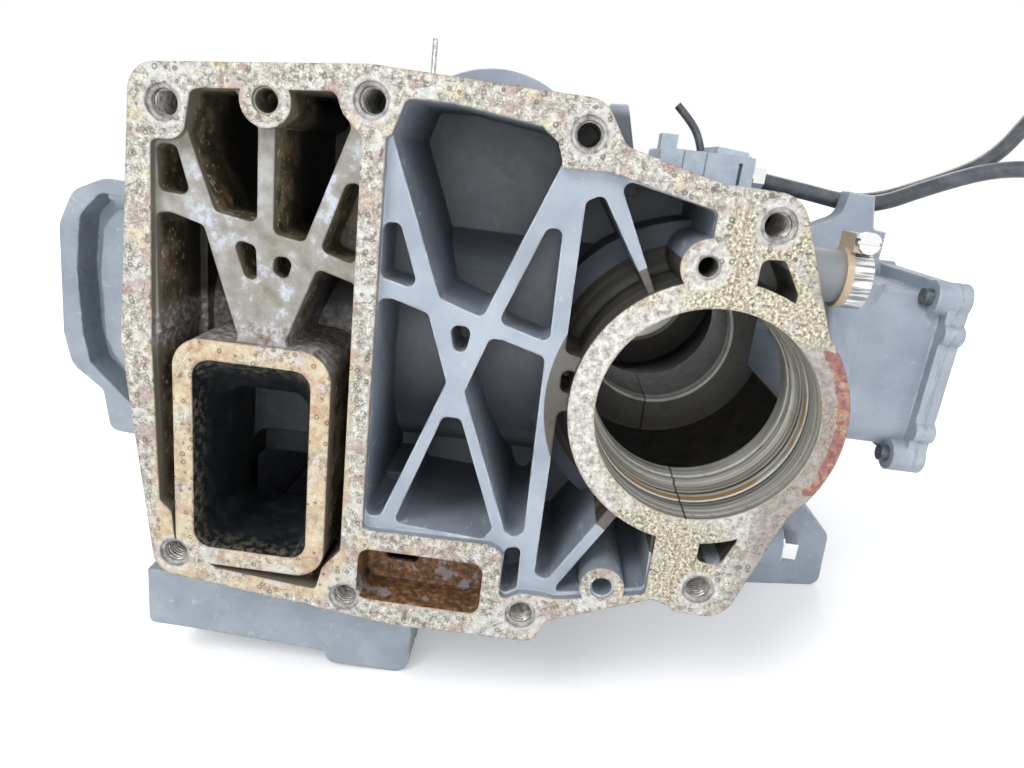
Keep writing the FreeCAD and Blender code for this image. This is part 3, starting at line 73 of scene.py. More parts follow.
# Light, background and floor
# Even daylight from all sides, a broad key lamp from the upper left front and softer lamps in front, at the
# right and behind. The background is plain white, and the floor keeps the part's shadow.
def seen_ray(tree):
    """1 for the rays that show the background itself: from the camera, off glossy ground and through glass."""
    path = tree.nodes.new("ShaderNodeLightPath")
    result = path.outputs["Is Camera Ray"]
    for name in ("Is Glossy Ray", "Is Transmission Ray"):
        larger = tree.nodes.new("ShaderNodeMath")
        larger.operation = "MAXIMUM"
        tree.links.new(result, larger.inputs[0])
        tree.links.new(path.outputs[name], larger.inputs[1])
        result = larger.outputs[0]
    return result


world = bpy.data.worlds.new("daylight")
scene.world = world
world.use_nodes = True
tree = world.node_tree
tree.nodes.clear()
output = tree.nodes.new("ShaderNodeOutputWorld")
shown = tree.nodes.new("ShaderNodeBackground")
shown.inputs["Color"].default_value = (1, 1, 1, 1)
shown.inputs["Strength"].default_value = 1.0
lighting = tree.nodes.new("ShaderNodeBackground")
lighting.inputs["Strength"].default_value = SKY_STRENGTH
way = tree.nodes.new("ShaderNodeTexCoord")
split = tree.nodes.new("ShaderNodeSeparateXYZ")
sky = tree.nodes.new("ShaderNodeValToRGB")
sky.color_ramp.elements[0].color = (0.42, 0.43, 0.46, 1)
sky.color_ramp.elements[0].position = 0.3
sky.color_ramp.elements[1].color = (1.25, 1.27, 1.32, 1)
sky.color_ramp.elements[1].position = 0.95
raised = tree.nodes.new("ShaderNodeMath")
raised.operation = "MULTIPLY_ADD"
raised.inputs[1].default_value = 0.5
raised.inputs[2].default_value = 0.5
choose = tree.nodes.new("ShaderNodeMixShader")
tree.links.new(way.outputs["Generated"], split.inputs[0])
tree.links.new(split.outputs["Z"], raised.inputs[0])
tree.links.new(raised.outputs[0], sky.inputs[0])
tree.links.new(sky.outputs[0], lighting.inputs["Color"])
tree.links.new(seen_ray(tree), choose.inputs[0])
tree.links.new(lighting.outputs[0], choose.inputs[1])
tree.links.new(shown.outputs[0], choose.inputs[2])
tree.links.new(choose.outputs[0], output.inputs[0])

for name, place, target, size, power in (
    ("key", (-0.55, -0.75, 0.95), (-0.05, 0.05, 0.0), 0.55, 9.4),
    ("front", (-0.10, -0.95, 0.16), (-0.06, 0.05, 0.0), 0.45, 3.5),
    ("fill", (0.75, -0.55, 0.55), (0.0, 0.05, 0.0), 0.6, 2.5),
    ("rear", (0.25, 1.1, 0.9), (0.0, 0.1, 0.0), 0.7, 6.0),
):
    lamp_data = bpy.data.lights.new(name, "AREA")
    lamp_data.size = size
    lamp_data.energy = power
    lamp = bpy.data.objects.new(name, lamp_data)
    scene.collection.objects.link(lamp)
    lamp.location = place
    lamp.rotation_euler = (Vector(target) - Vector(place)).to_track_quat("-Z", "Y").to_euler()

floor_mesh = bpy.data.meshes.new("floor")
floor_corners = [(x * FLOOR_REACH, y * FLOOR_REACH, FLOOR) for x, y in ((-1, -1), (1, -1), (1, 1), (-1, 1))]
floor_mesh.from_pydata(floor_corners, [], [(0, 1, 2, 3)])
floor = bpy.data.objects.new("floor", floor_mesh)
scene.collection.objects.link(floor)
paper = bpy.data.materials.new("white_floor")
paper.use_nodes = True
tree = paper.node_tree
tree.nodes.clear()
output = tree.nodes.new("ShaderNodeOutputMaterial")
diffuse = tree.nodes.new("ShaderNodeBsdfDiffuse")
diffuse.inputs["Color"].default_value = (0.93, 0.93, 0.93, 1)
glow = tree.nodes.new("ShaderNodeEmission")
glow.inputs["Color"].default_value = (1, 1, 1, 1)
spot = tree.nodes.new("ShaderNodeTexCoord")
away = tree.nodes.new("ShaderNodeVectorMath")
away.operation = "LENGTH"
further = tree.nodes.new("ShaderNodeMapRange")
further.inputs[1].default_value, further.inputs[2].default_value = GLOW_FROM, GLOW_TO
further.inputs[3].default_value, further.inputs[4].default_value = GLOW_NEAR, GLOW_FAR
dim = tree.nodes.new("ShaderNodeMath")
dim.operation = "MULTIPLY"
tree.links.new(spot.outputs["Object"], away.inputs[0])
tree.links.new(away.outputs["Value"], further.inputs[0])
tree.links.new(further.outputs[0], dim.inputs[1])
add = tree.nodes.new("ShaderNodeAddShader")
tree.links.new(seen_ray(tree), dim.inputs[0])
tree.links.new(dim.outputs[0], glow.inputs["Strength"])
tree.links.new(diffuse.outputs[0], add.inputs[0])
tree.links.new(glow.outputs[0], add.inputs[1])
tree.links.new(add.outputs[0], output.inputs[0])
floor.data.materials.append(paper)


# Finishes
# Each finish is a node tree over object coordinates turned back by the lie angle, so that x and z read as
# drawn. Depth y is 0 at the lower face and grows into the casting.
class Finish:
    def __init__(self, name):
        self.material = bpy.data.materials.new(name)
        self.material.use_nodes = True
        self.tree = self.material.node_tree
        self.tree.nodes.clear()
        self.surface = self.node("ShaderNodeBsdfPrincipled")
        output = self.node("ShaderNodeOutputMaterial")
        self.link(self.surface.outputs[0], output.inputs[0])
        coordinates = self.node("ShaderNodeTexCoord")
        turned = self.node("ShaderNodeMapping", Vector=coordinates.outputs["Object"], Rotation=(0, -LIE, 0))
        self.place = turned.outputs[0]
        split = self.node("ShaderNodeSeparateXYZ", Vector=self.place)
        self.x, self.y, self.z = split.outputs
        self.flat = self.node("ShaderNodeCombineXYZ", X=self.x, Z=self.z).outputs[0]

    def link(self, source, target):
        self.tree.links.new(source, target)

    def node(self, kind, settings=None, **inputs):
        made = self.tree.nodes.new(kind)
        for key, value in (settings or {}).items():
            setattr(made, key, value)
        for key, value in inputs.items():
            numbered = key[0] == "i" and key[1:].isdigit()
            socket = made.inputs[int(key[1:]) if numbered else key.replace("_", " ")]
            if isinstance(value, bpy.types.NodeSocket):
                self.link(value, socket)
            elif value is not None:
                socket.default_value = value
        return made

    def math(self, operation, a, b=None, c=None, clamp=False):
        return self.node(
            "ShaderNodeMath", {"operation": operation, "use_clamp": clamp}, i0=a, i1=b, i2=c
        ).outputs[0]

    def noise(self, scale, detail=4.0, rough=0.55, distort=0.0, vector=None):
        shape = {"Scale": scale, "Detail": detail, "Roughness": rough, "Distortion": distort}
        return self.node("ShaderNodeTexNoise", None, Vector=vector or self.place, **shape).outputs[0]

    def ramp(self, factor, *stops):
        made = self.node("ShaderNodeValToRGB", None, Fac=factor)
        band = made.color_ramp
        while len(band.elements) < len(stops):
            band.elements.new(0.5)
        for element, (position, color) in zip(band.elements, stops):
            element.position = position
            element.color = (*color, 1.0)
        return made.outputs[0]

    def step(self, value, start, end):
        """0 below start and 1 above end, or the other way round when end is the smaller."""
        made = self.node("ShaderNodeMapRange", {"interpolation_type": "SMOOTHSTEP"}, Value=value)
        rising = start < end
        made.inputs[1].default_value, made.inputs[2].default_value = (start, end) if rising else (end, start)
        made.inputs[3].default_value, made.inputs[4].default_value = (0.0, 1.0) if rising else (1.0, 0.0)
        return made.outputs[0]

    def mix(self, factor, a, b):
        made = self.node("ShaderNodeMix", {"data_type": "RGBA"})
        for socket, value in ((made.inputs[0], factor), (made.inputs[6], a), (made.inputs[7], b)):
            if isinstance(value, bpy.types.NodeSocket):
                self.link(value, socket)
            else:
                socket.default_value = (*value, 1.0) if isinstance(value, tuple) else value
        return made.outputs[2]

    def all_of(self, *factors):
        result = factors[0]
        for factor in factors[1:]:
            result = self.math("MULTIPLY", result, factor)
        return result

    def invert(self, factor):
        return self.math("SUBTRACT", 1.0, factor)

    def stretch(self, x, y, z):
        return self.node("ShaderNodeMapping", None, Vector=self.place, Scale=(x, y, z)).outputs[0]

    def any_of(self, *factors):
        result = factors[0]
        for factor in factors[1:]:
            result = self.math("MAXIMUM", result, factor)
        return result

    def box(self, left, right, bottom, top, soft=1.5):
        """Millimetres of the drawing, with a soft border."""
        def between(value, low_side, high_side):
            rise = self.step(value, (low_side - soft) / 1000, (low_side + soft) / 1000)
            fall = self.step(value, (high_side + soft) / 1000, (high_side - soft) / 1000)
            return self.math("MULTIPLY", rise, fall)

        return self.math("MULTIPLY", between(self.x, left, right), between(self.z, bottom, top))

    def rounded(self, radius):
        """The normal with soft edges, and a factor that is 1 close to an edge and 0 on flat ground."""
        soft = self.node("ShaderNodeBevel", {"samples": 4}, Radius=radius).outputs[0]
        plain = self.node("ShaderNodeNewGeometry").outputs["Normal"]
        dot = self.node(
            "ShaderNodeVectorMath", {"operation": "DOT_PRODUCT"}, i0=soft, i1=plain
        ).outputs["Value"]
        return soft, self.step(dot, 0.993, 0.82)

    def bump(self, height, strength, distance, base=None):
        made = self.node("ShaderNodeBump", None, Height=height, Strength=strength, Distance=distance)
        if base is not None:
            self.link(base, made.inputs["Normal"])
        return made.outputs[0]

    def finish(self, color, rough, metallic=0.0, normal=None, specular=0.5):
        given_values = {
            "Base Color": color, "Roughness": rough, "Metallic": metallic, "Normal": normal,
            "Specular IOR Level": specular,
        }
        for key, value in given_values.items():
            if isinstance(value, bpy.types.NodeSocket):
                self.link(value, self.surface.inputs[key])
            elif value is not None:
                given = (*value, 1.0) if isinstance(value, tuple) else value
                self.surface.inputs[key].default_value = given
        return self.material


# Cylinder block
# Blue-grey paint over the casting; the lower face is bare, pitted and stained; the left chamber is dirty. Pocket
# walls, deep floors and holes carry painted shade.
# Boxes are left, right, bottom and top in millimetres of the drawing; HOLES are the eight threaded holes.
SKIRT = (-186, 44, -84, 90)
DUCT = (-165.2, -125.1, -70.2, -1.0)
DUCT_LAND = (-178, -112, -84, 12)
DRAIN = (-107.9, -63.4, -82.4, -61.4)
SHELF = (-179, -112, -2, 12)
BLOOMS = ((-166, -146, 34, 64, 5), (-130, -113, 22, 74, 4), (-152, -132, 12, 34, 4))
SEAMS = ((-6, 24, 34, 66, 4), (-20, 14, -68, -36, 4))
PILOT = (-0.0082, 0, 0.0466)
HOLES = (
    (-172.2, 74.4), (-111.2, 81.6), (-48.4, 79.4), (9.4, 60.8),
    (8.8, -60.2), (-49.4, -79.4), (-111.3, -82.0), (-171.6, -73.6),
)
f = Finish("block")
fine = f.noise(1500, 2, 0.6)
small = f.noise(430, 5, 0.66)
middle = f.noise(120, 5, 0.62)
broad = f.noise(36, 4, 0.6)
bevelled, edge = f.rounded(EDGE_ROUNDING)
true_normal = f.node("ShaderNodeNewGeometry").outputs["True Normal"]
facing = f.step(f.node("ShaderNodeSeparateXYZ", None, Vector=true_normal).outputs[1], -0.60, -0.85)
radial = f.node("ShaderNodeVectorMath", {"operation": "LENGTH"}, i0=f.flat).outputs["Value"]
depth_shade = f.step(f.y, 0.012, 0.062)

paint = f.ramp(
    broad, (0.32, (0.225, 0.260, 0.310)), (0.50, (0.285, 0.325, 0.380)), (0.68, (0.340, 0.380, 0.435))
)
paint = f.mix(f.all_of(f.step(small, 0.62, 0.70), 0.5), paint, (0.42, 0.45, 0.50))
paint = f.mix(f.all_of(edge, f.step(middle, 0.38, 0.60)), paint, (0.60, 0.63, 0.69))
in_skirt = f.all_of(f.step(f.y, 0.0655, 0.0645), f.box(*SKIRT, 2.0))
# Pocket walls are painted darker than the faces that look out, with pale streaks near the mouth, and darker still
# with depth: painted shade.
wall_streaks_and_shade = f.mix(0.22, paint, (0.040, 0.046, 0.056))
wall_streaks_and_shade = f.mix(
    f.all_of(
        f.step(f.noise(260, 5, 0.75, 0.4, f.stretch(1, 0.30, 1)), 0.57, 0.66), f.step(f.y, 0.036, 0.003), 0.75
    ),
    wall_streaks_and_shade, (0.52, 0.54, 0.55)
)
wall_streaks_and_shade = f.mix(f.all_of(depth_shade, 0.66), wall_streaks_and_shade, (0.008, 0.009, 0.012))
inside = f.mix(f.all_of(in_skirt, f.invert(facing)), paint, wall_streaks_and_shade)
# Pocket floors deeper than about 12 to 20 mm are painted near black: painted shade.
inside = f.mix(f.all_of(in_skirt, facing, f.step(f.y, 0.012, 0.020), 0.75), inside, (0.010, 0.011, 0.013))

# Left chamber
# Its ribs are stained brown with pale blue bloom, its walls caked with dirt and painted near black with depth as
# painted shade.
left_side = f.all_of(f.step(f.x, -0.1110, -0.1120), in_skirt)
rib = f.ramp(
    middle, (0.30, (0.155, 0.135, 0.105)), (0.48, (0.245, 0.232, 0.205)), (0.66, (0.330, 0.325, 0.305))
)
bloom = f.any_of(*(f.box(*bloom_box) for bloom_box in BLOOMS))
rib = f.mix(
    f.all_of(bloom, f.step(middle, 0.50, 0.60), f.step(small, 0.42, 0.56), 0.8), rib, (0.47, 0.51, 0.60)
)
soil_and_shade = f.ramp(
    middle, (0.32, (0.030, 0.024, 0.015)), (0.47, (0.105, 0.082, 0.052)), (0.58, (0.240, 0.190, 0.120)),
    (0.74, (0.400, 0.350, 0.265))
)
soil_and_shade = f.mix(f.all_of(f.step(small, 0.57, 0.65), f.step(f.y, 0.032, 0.012)), soil_and_shade, (0.66, 0.56, 0.38))
soil_and_shade = f.mix(f.step(f.y, 0.008, 0.0032), soil_and_shade, (0.170, 0.155, 0.125))
# Deeper than about 6 to 36 mm the walls turn near black: painted shade.
soil_and_shade = f.mix(f.all_of(f.step(f.y, 0.006, 0.036), 0.94), soil_and_shade, (0.004, 0.004, 0.004))
dirt_and_shade = f.mix(f.all_of(facing, f.step(f.y, 0.008, 0.006)), soil_and_shade, rib)
chalk = f.ramp(small, (0.34, (0.11, 0.072, 0.042)), (0.50, (0.28, 0.255, 0.230)), (0.64, (0.52, 0.55, 0.62)))
shelf = f.all_of(f.box(*SHELF, 3), f.step(f.y, 0.045, 0.030), f.step(broad, 0.38, 0.50))
dirt_and_shade = f.mix(f.all_of(shelf, 0.85), dirt_and_shade, chalk)
inside = f.mix(left_side, inside, dirt_and_shade)

# Exhaust duct and drain pocket
# Black soot in the duct, paler at its mouth; brown rust with grey patches in the pocket, which is painted near
# black deeper down as painted shade.
duct_inside = f.all_of(f.box(*DUCT, 0.4), f.step(f.y, 0.0625, 0.0615))
soot = f.ramp(
    middle, (0.35, (0.004, 0.006, 0.008)), (0.55, (0.010, 0.013, 0.016)), (0.75, (0.030, 0.030, 0.029))
)
soot = f.mix(f.all_of(f.step(f.y, 0.012, 0.001), f.step(small, 0.44, 0.62), 0.6), soot, (0.20, 0.17, 0.12))
inside = f.mix(duct_inside, inside, soot)
rust = f.ramp(
    small, (0.30, (0.045, 0.022, 0.012)), (0.46, (0.115, 0.058, 0.027)), (0.60, (0.250, 0.130, 0.058)),
    (0.76, (0.420, 0.290, 0.170))
)
rust = f.mix(f.all_of(f.step(middle, 0.56, 0.62), 0.7), rust, (0.30, 0.31, 0.34))
drain = f.all_of(f.box(*DRAIN, 0.3), f.step(f.y, 0.056, 0.053))
# Deeper than about 17 mm the pocket is painted near black: painted shade.
inside = f.mix(drain, inside, f.mix(f.step(f.y, 0.0165, 0.0185), rust, (0.005, 0.004, 0.004)))

# Bore and crank chambers
# Turned steel in fine bands at the seal and bearing seats, dark raw casting between them, and the split line.
in_bore = f.step(radial, 0.0512, 0.0508)
bands = f.noise(1.0, 3, 0.55, 0.0, f.stretch(9, 520, 9))
steel = f.ramp(bands, (0.34, (0.17, 0.16, 0.135)), (0.46, (0.37, 0.36, 0.32)), (0.60, (0.66, 0.66, 0.62)))
steel = f.mix(f.all_of(f.step(small, 0.56, 0.66), f.step(f.y, 0.014, 0.002), 0.6), steel, (0.16, 0.15, 0.13))
steel = f.mix(f.all_of(f.step(middle, 0.54, 0.60), 0.35), steel, (0.36, 0.31, 0.20))
groove = f.step(radial, 0.0352, 0.0356)
steel = f.mix(f.all_of(groove, 0.85), steel, (0.035, 0.030, 0.026))
stain = f.all_of(f.step(f.y, 0.0142, 0.0152), f.step(f.y, 0.0185, 0.0170), f.step(f.noise(30, 3), 0.44, 0.54))
steel = f.mix(f.all_of(stain, 0.85), steel, (0.42, 0.22, 0.05))
barrel = f.ramp(
    middle, (0.35, (0.014, 0.011, 0.009)), (0.60, (0.050, 0.040, 0.032)), (0.80, (0.110, 0.092, 0.076))
)
line = f.any_of(
    f.step(f.y, 0.0412, 0.0408), f.all_of(f.step(f.y, 0.1228, 0.1232), f.step(f.y, 0.1330, 0.1315)),
    f.step(f.y, 0.2505, 0.2510),
)
hollow = f.mix(line, barrel, steel)
hollow = f.mix(f.all_of(f.step(f.math("ABSOLUTE", f.x), 0.0005, 0.0002), 0.8), hollow, (0.02, 0.018, 0.015))
inside = f.mix(in_bore, inside, hollow)

# The bare land
# Pitted bare metal with flakes of old gasket, sealer granules at the split and a maroon strip by the bore.
on_land = f.all_of(f.step(f.y, 0.0005, 0.0003), f.step(radial, 0.0349, 0.0351))
grain = f.ramp(
    small, (0.34, (0.125, 0.108, 0.087)), (0.44, (0.275, 0.262, 0.225)), (0.53, (0.425, 0.418, 0.375)),
    (0.64, (0.625, 0.618, 0.565))
)
land = f.mix(f.all_of(f.step(fine, 0.55, 0.62), 0.62), grain, (0.13, 0.115, 0.085))
land = f.mix(f.all_of(f.step(fine, 0.44, 0.37), 0.5), land, (0.70, 0.70, 0.64))
flakes = f.noise(75, 4, 0.6, 0.5)
land = f.mix(f.all_of(f.step(flakes, 0.54, 0.56), 0.50), land, (0.55, 0.55, 0.53))
land = f.mix(f.all_of(f.step(f.noise(90, 5, 0.7, 0.6), 0.53, 0.58), 0.55), land, (0.30, 0.19, 0.165))
land = f.mix(f.all_of(f.step(f.noise(96, 5, 0.7, 0.8), 0.57, 0.62), 0.45), land, (0.58, 0.50, 0.30))
for level in (0.46, 0.54):
    contour = f.step(f.math("ABSOLUTE", f.math("SUBTRACT", flakes, level)), 0.008, 0.003)
    land = f.mix(f.all_of(contour, f.step(middle, 0.42, 0.52), 0.65), land, (0.13, 0.10, 0.085))
duct_ring = f.all_of(f.box(*DUCT_LAND, 2), f.step(f.noise(60, 4, 0.6), 0.34, 0.56))
land = f.mix(
    f.all_of(duct_ring, 0.68), land,
    f.ramp(middle, (0.40, (0.40, 0.20, 0.075)), (0.50, (0.50, 0.375, 0.200)), (0.62, (0.58, 0.50, 0.34)))
)
pits = f.node("ShaderNodeTexVoronoi", {"feature": "F1"}, Vector=f.place, Scale=330.0, Randomness=0.8)
chosen = f.step(f.node("ShaderNodeSeparateXYZ", None, Vector=pits.outputs["Color"]).outputs[0], 0.28, 0.32)
off = f.math(
    "ABSOLUTE",
    f.math("SUBTRACT", f.math("ADD", pits.outputs["Distance"], f.math("MULTIPLY", small, 0.20)), 0.32)
)
pit = f.all_of(f.step(off, 0.085, 0.03), chosen)
plate = f.step(radial, 0.0485, 0.0470)
white = f.ramp(
    small, (0.36, (0.210, 0.190, 0.165)), (0.47, (0.42, 0.40, 0.365)), (0.60, (0.62, 0.605, 0.575))
)
white = f.mix(f.all_of(f.step(fine, 0.55, 0.62), 0.5), white, (0.19, 0.165, 0.14))
granules = f.ramp(
    f.noise(950, 3, 0.7), (0.36, (0.095, 0.083, 0.058)), (0.46, (0.28, 0.252, 0.180)),
    (0.54, (0.47, 0.435, 0.330)), (0.64, (0.69, 0.665, 0.56))
)
seam = f.any_of(*(f.box(*seam_box) for seam_box in SEAMS), f.all_of(f.box(-14, 40, 26, 48, 5), plate))
seam = f.all_of(seam, f.step(f.noise(95, 4, 0.6), 0.36, 0.46))
speckle = f.mix(f.any_of(seam, f.all_of(plate, f.step(broad, 0.52, 0.60))), white, granules)
land = f.mix(f.any_of(f.all_of(plate, 0.9), seam), land, speckle)
right_land = f.step(f.x, 0.016, 0.026)
land = f.mix(f.all_of(right_land, f.invert(seam), 0.60), land, (0.170, 0.140, 0.128))
maroon_place = f.all_of(
    f.step(radial, 0.0380, 0.0405), f.step(radial, 0.0480, 0.0455), f.box(24, 60, -22, 27, 4)
)
patchy = f.noise(150, 5, 0.75, 0.6)
maroon = f.all_of(
    f.step(f.math("ADD", maroon_place, f.math("MULTIPLY", patchy, 0.9)), 1.08, 1.16),
    f.step(patchy, 0.40, 0.44)
)
land = f.mix(maroon, land, f.ramp(small, (0.35, (0.150, 0.062, 0.058)), (0.65, (0.330, 0.165, 0.150))))
land = f.mix(
    f.all_of(maroon_place, f.step(f.math("ABSOLUTE", f.math("SUBTRACT", patchy, 0.44)), 0.020, 0.008), 0.6),
    land, (0.50, 0.27, 0.10)
)
land = f.mix(
    f.all_of(edge, f.step(middle, 0.40, 0.54), 0.8), land,
    f.ramp(broad, (0.42, (0.34, 0.20, 0.175)), (0.52, (0.62, 0.54, 0.38)), (0.60, (0.56, 0.27, 0.085)))
)
nearest = f.node("ShaderNodeVectorMath", {"operation": "DISTANCE"}, i0=f.flat, i1=PILOT).outputs["Value"]
for x, z in HOLES:
    gap = f.node(
        "ShaderNodeVectorMath", {"operation": "DISTANCE"}, i0=f.flat, i1=(x / 1000, 0, z / 1000)
    ).outputs["Value"]
    nearest = f.math("MINIMUM", nearest, gap)
turned_ring = f.step(nearest, 0.0074, 0.0066)
land = f.mix(
    f.all_of(turned_ring, 0.65), land, f.ramp(small, (0.35, (0.30, 0.285, 0.27)), (0.65, (0.62, 0.615, 0.60)))
)
land = f.mix(f.all_of(pit, f.invert(plate), 0.62), land, (0.115, 0.095, 0.075))
color = f.mix(on_land, inside, land)
# The walls of the eight holes are worn grey at the mouth and painted near black deeper than 3 to 14 mm: painted
# shade.
mouth = f.all_of(f.step(nearest, 0.0056, 0.0054), f.step(f.y, 0.028, 0.026))
worn = f.ramp(small, (0.35, (0.16, 0.15, 0.14)), (0.65, (0.50, 0.49, 0.47)))
color = f.mix(
    f.all_of(mouth, f.step(f.y, 0.0001, 0.0006)), color,
    f.mix(f.step(f.y, 0.003, 0.014), worn, (0.02, 0.018, 0.016))
)
height = f.math("ADD", f.math("MULTIPLY", small, 0.5), f.math("MULTIPLY", fine, 0.25))
normal = f.bump(height, 0.32, 0.0007, bevelled)
relief = f.math("SUBTRACT", f.math("MULTIPLY", f.step(flakes, 0.53, 0.545), 0.35), pit)
normal = f.bump(f.all_of(relief, on_land), 0.7, 0.0006, normal)
roughness = f.math("MULTIPLY_ADD", small, 0.35, 0.30)
block_finish = f.finish(color, roughness, f.all_of(in_bore, line, 0.30), normal, 0.42)

# Plain painted castings
# The same paint on the head, the covers and the intake parts, with worn edges.
f = Finish("painted_casting")
small = f.noise(330, 4, 0.6)
broad = f.noise(40, 4, 0.6)
soft_normal, edge = f.rounded(EDGE_ROUNDING)
paint = f.ramp(
    broad, (0.30, (0.205, 0.240, 0.280)), (0.50, (0.262, 0.302, 0.345)), (0.70, (0.325, 0.365, 0.405))
)
paint = f.mix(f.all_of(f.step(small, 0.62, 0.72), 0.5), paint, (0.44, 0.48, 0.50))
paint = f.mix(f.math("MULTIPLY", edge, f.step(small, 0.45, 0.62)), paint, (0.48, 0.51, 0.54))
normal = f.bump(f.noise(420, 3, 0.5), 0.45, 0.0010, soft_normal)
casting_finish = f.finish(paint, 0.42, 0.0, normal, 0.5)

# Bare metals, gaskets and rubber
# Short finishes for the small parts; the clamp has fine upright slots and a beige end; the intake bolts are near
# black as painted shade in their bosses.
f = Finish("worn_steel")
scratches = f.noise(700, 4, 0.7)
steel_finish = f.finish(
    f.ramp(scratches, (0.35, (0.28, 0.26, 0.24)), (0.65, (0.66, 0.65, 0.63))), 0.33, 0.85, None
)
f = Finish("thread")
thread_finish = f.finish(
    f.ramp(f.noise(600, 4, 0.6), (0.35, (0.16, 0.145, 0.13)), (0.65, (0.52, 0.50, 0.46))), 0.4, 0.6, None
)
f = Finish("bright_steel")
bright_finish = f.finish((0.80, 0.79, 0.78), 0.16, 1.0, None)
f = Finish("honed_iron")
iron_finish = f.finish((0.36, 0.35, 0.34), 0.35, 0.7, None)
f = Finish("gasket")
gasket_finish = f.finish((0.10, 0.05, 0.05), 0.8, 0.0, None)
f = Finish("plate")
plate_finish = f.finish(
    f.ramp(f.noise(200, 5, 0.6), (0.35, (0.26, 0.29, 0.33)), (0.65, (0.44, 0.47, 0.51))), 0.45, 0.1,
    f.bump(f.noise(500, 3), 0.3, 0.0006)
)
f = Finish("clamp")
streaks = f.noise(1.0, 3, 0.6, 0.0, f.stretch(60, 900, 900))
band = f.ramp(streaks, (0.38, (0.22, 0.22, 0.22)), (0.47, (0.52, 0.52, 0.52)), (0.60, (0.86, 0.86, 0.86)))
band = f.mix(f.step(f.x, 0.0425, 0.0415), band, (0.46, 0.36, 0.25))
clamp_finish = f.finish(band, 0.25, f.step(f.x, 0.0415, 0.0425), None)
# The intake bolts are painted near black to stand for the shade in their bosses: painted shade.
f = Finish("bolt_in_painted_shade")
bolt_in_painted_shade_finish = f.finish(
    f.ramp(f.noise(500, 4, 0.6), (0.4, (0.050, 0.058, 0.068)), (0.7, (0.14, 0.16, 0.18))), 0.45, 0.2, None
)
f = Finish("bracket")
bracket_finish = f.finish(
    f.ramp(f.noise(200, 5, 0.6), (0.35, (0.30, 0.35, 0.41)), (0.65, (0.40, 0.45, 0.51))), 0.5, 0.0,
    f.bump(f.noise(500, 3), 0.2, 0.0004)
)
f = Finish("grey_hose")
grey_hose_finish = f.finish((0.20, 0.215, 0.225), 0.55, 0.0, None)
f = Finish("dark_hose")
dark_hose_finish = f.finish(
    f.ramp(f.noise(160, 4), (0.4, (0.035, 0.042, 0.050)), (0.7, (0.085, 0.095, 0.11))), 0.38, 0.0,
    f.bump(f.noise(600, 3), 0.15, 0.0004)
)

looks = {
    "cylinder_block": block_finish, "crankcase_half": block_finish, "cylinder_head": casting_finish,
    "exhaust_cover": casting_finish, "lower_liner": iron_finish, "upper_liner": iron_finish,
    "head_gasket": gasket_finish, "exhaust_gasket": gasket_finish, "intake_gasket": casting_finish,
    "exhaust_baffle": plate_finish, "reed_plate": casting_finish, "coil_bracket": bracket_finish,
    "head_bolts": steel_finish, "exhaust_cover_bolts": steel_finish, "intake_bolts": bolt_in_painted_shade_finish,
    "crankcase_bolts": steel_finish, "alignment_pins": steel_finish, "hose_nipple": steel_finish,
    "hose_clamp": clamp_finish, "link_rod": steel_finish, "foot_bolts": bright_finish,
    "clamp_screw": bright_finish, "bracket_bolt": bright_finish, "joint_hose": grey_hose_finish,
    "long_hose": dark_hose_finish, "branch_hose": dark_hose_finish, "thin_hose": dark_hose_finish,
}
for name, finish in looks.items():
    nodes[name].data.materials.clear()
    nodes[name].data.materials.append(finish)

# Threads
# A fine M8 thread stands in each of the eight holes of the lower face: a turned ridge on a helix, one mesh for all.
TURNS = 18.0
STEPS_PER_TURN = 26
PITCH = 1.25
WALL = 3.985                    # the helix starts and ends in the wall of the 4 mm hole
FIRST_DEPTH = 1.5
RUN_IN = 1.2                    # turns over which the ridge rises
angle = np.linspace(0, 2 * math.pi * TURNS, int(TURNS * STEPS_PER_TURN) + 1)
profile = np.array([(0.0, WALL), (0.32, 3.50), (0.60, 3.46), (0.92, WALL)])
grid_a, grid_p = np.meshgrid(angle, np.arange(len(profile)), indexing="ij")
radius = profile[grid_p, 1]
fade = np.clip((grid_a / (2 * math.pi)) / RUN_IN, 0, 1)
radius = WALL - (WALL - radius) * fade
depth = FIRST_DEPTH + grid_a / (2 * math.pi) * PITCH + profile[grid_p, 0]
rows, columns = grid_a.shape
corners = []
faces = []
index = np.arange(rows * columns).reshape(rows, columns)
quads = np.stack([index[:-1, :-1], index[:-1, 1:], index[1:, 1:], index[1:, :-1]], axis=-1).reshape(-1, 4)
for number, (x, z) in enumerate(HOLES):
    drawn_x = x + radius * np.cos(grid_a)
    drawn_z = z + radius * np.sin(grid_a)
    lie_x = drawn_x * math.cos(LIE) + drawn_z * math.sin(LIE)
    lie_z = drawn_z * math.cos(LIE) - drawn_x * math.sin(LIE)
    corners.append(np.stack([lie_x, depth, lie_z], axis=-1).reshape(-1, 3) / 1000)
    faces.append(quads + number * rows * columns)
thread_mesh = bpy.data.meshes.new("threads")
thread_mesh.from_pydata(np.concatenate(corners).tolist(), [], np.concatenate(faces).tolist())
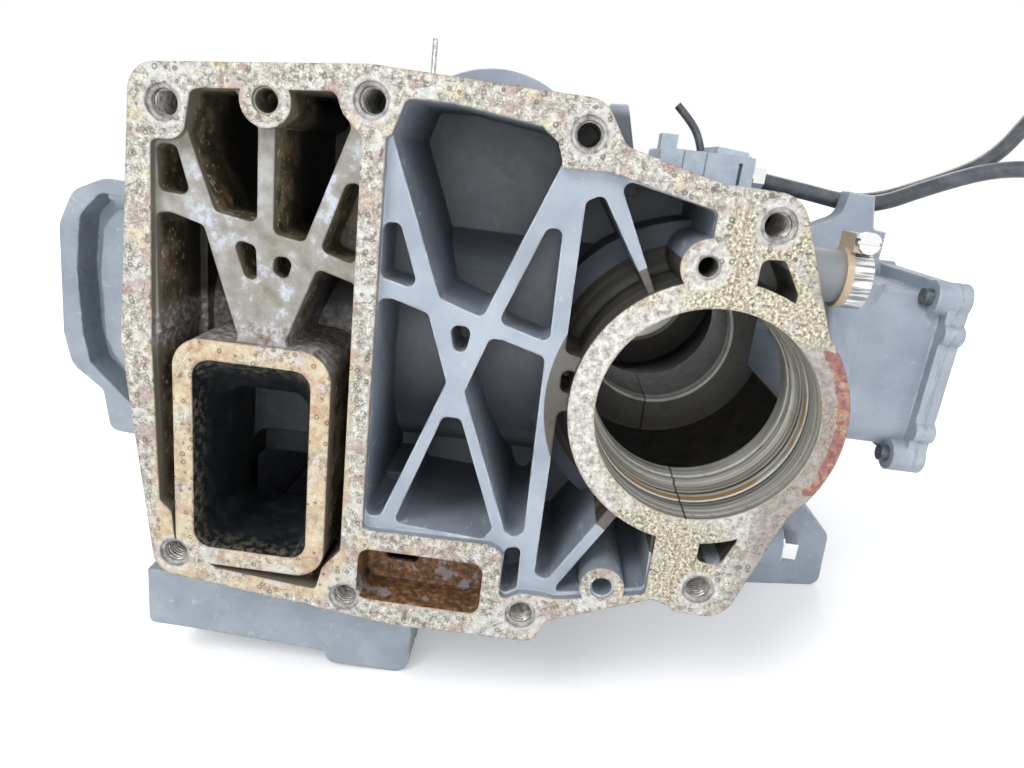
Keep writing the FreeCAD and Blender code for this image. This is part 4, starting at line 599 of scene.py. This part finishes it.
thread_mesh.update()
threads = bpy.data.objects.new("threads", thread_mesh)
scene.collection.objects.link(threads)
thread_mesh.materials.append(thread_finish)
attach(threads, "root")

# Hoses
# The two cut hoses and the short thin one, each a smooth line led by given points: its radius, then the
# points of the drawing. The shortest is too short for a cord.
HOSES = {
    "long_hose": (3.2, [
        (17.4, 97.0, 74.0), (44.0, 97.0, 71.0), (70.0, 95.0, 67.0), (93.0, 94.0, 79.0), (116.0, 94.0, 88.5),
        (142.0, 96.0, 90.0), (163.0, 100.0, 70.0), (172.0, 104.0, 32.0), (178.0, 106.0, -12.0),
        (186.0, 108.0, -58.0), (204.0, 112.0, -84.0), (238.0, 120.0, -87.4), (272.0, 134.0, -83.2),
    ]),
    "branch_hose": (3.2, [
        (17.4, 108.0, 74.0), (44.0, 108.0, 71.0), (72.0, 108.0, 68.0), (100.0, 108.0, 80.0), (
            122.0, 110.0, 92.0
        ),
        (136.0, 114.0, 114.0), (154.0, 120.0, 138.0), (182.0, 128.0, 140.0), (201.0, 136.0, 112.0),
        (208.0, 142.0, 70.0), (212.0, 148.0, 24.0), (217.0, 153.0, -24.0), (228.0, 160.0, -66.0),
        (252.0, 172.0, -84.6), (284.0, 190.0, -80.6),
    ]),
    "thin_hose": (1.5, [(-1.5, 88.0, 81.2), (-3.0, 88.0, 86.0), (-7.5, 88.0, 92.0), (-13.5, 88.0, 97.0)]),
}
for name, (radius, points) in HOSES.items():
    curve = bpy.data.curves.new(name + "_line", "CURVE")
    curve.dimensions = "3D"
    curve.bevel_depth = radius / 1000
    curve.bevel_resolution = 5
    curve.resolution_u = 14
    curve.use_fill_caps = True
    spline = curve.splines.new("NURBS")
    spline.points.add(len(points) - 1)
    for point, corner in zip(spline.points, points):
        point.co = (*at(*corner), 1.0)
    spline.order_u = 3
    spline.use_endpoint_u = True
    line = bpy.data.objects.new(name + "_line", curve)
    scene.collection.objects.link(line)
    curve.materials.append(dark_hose_finish)
    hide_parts(name)
    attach(line, "root")
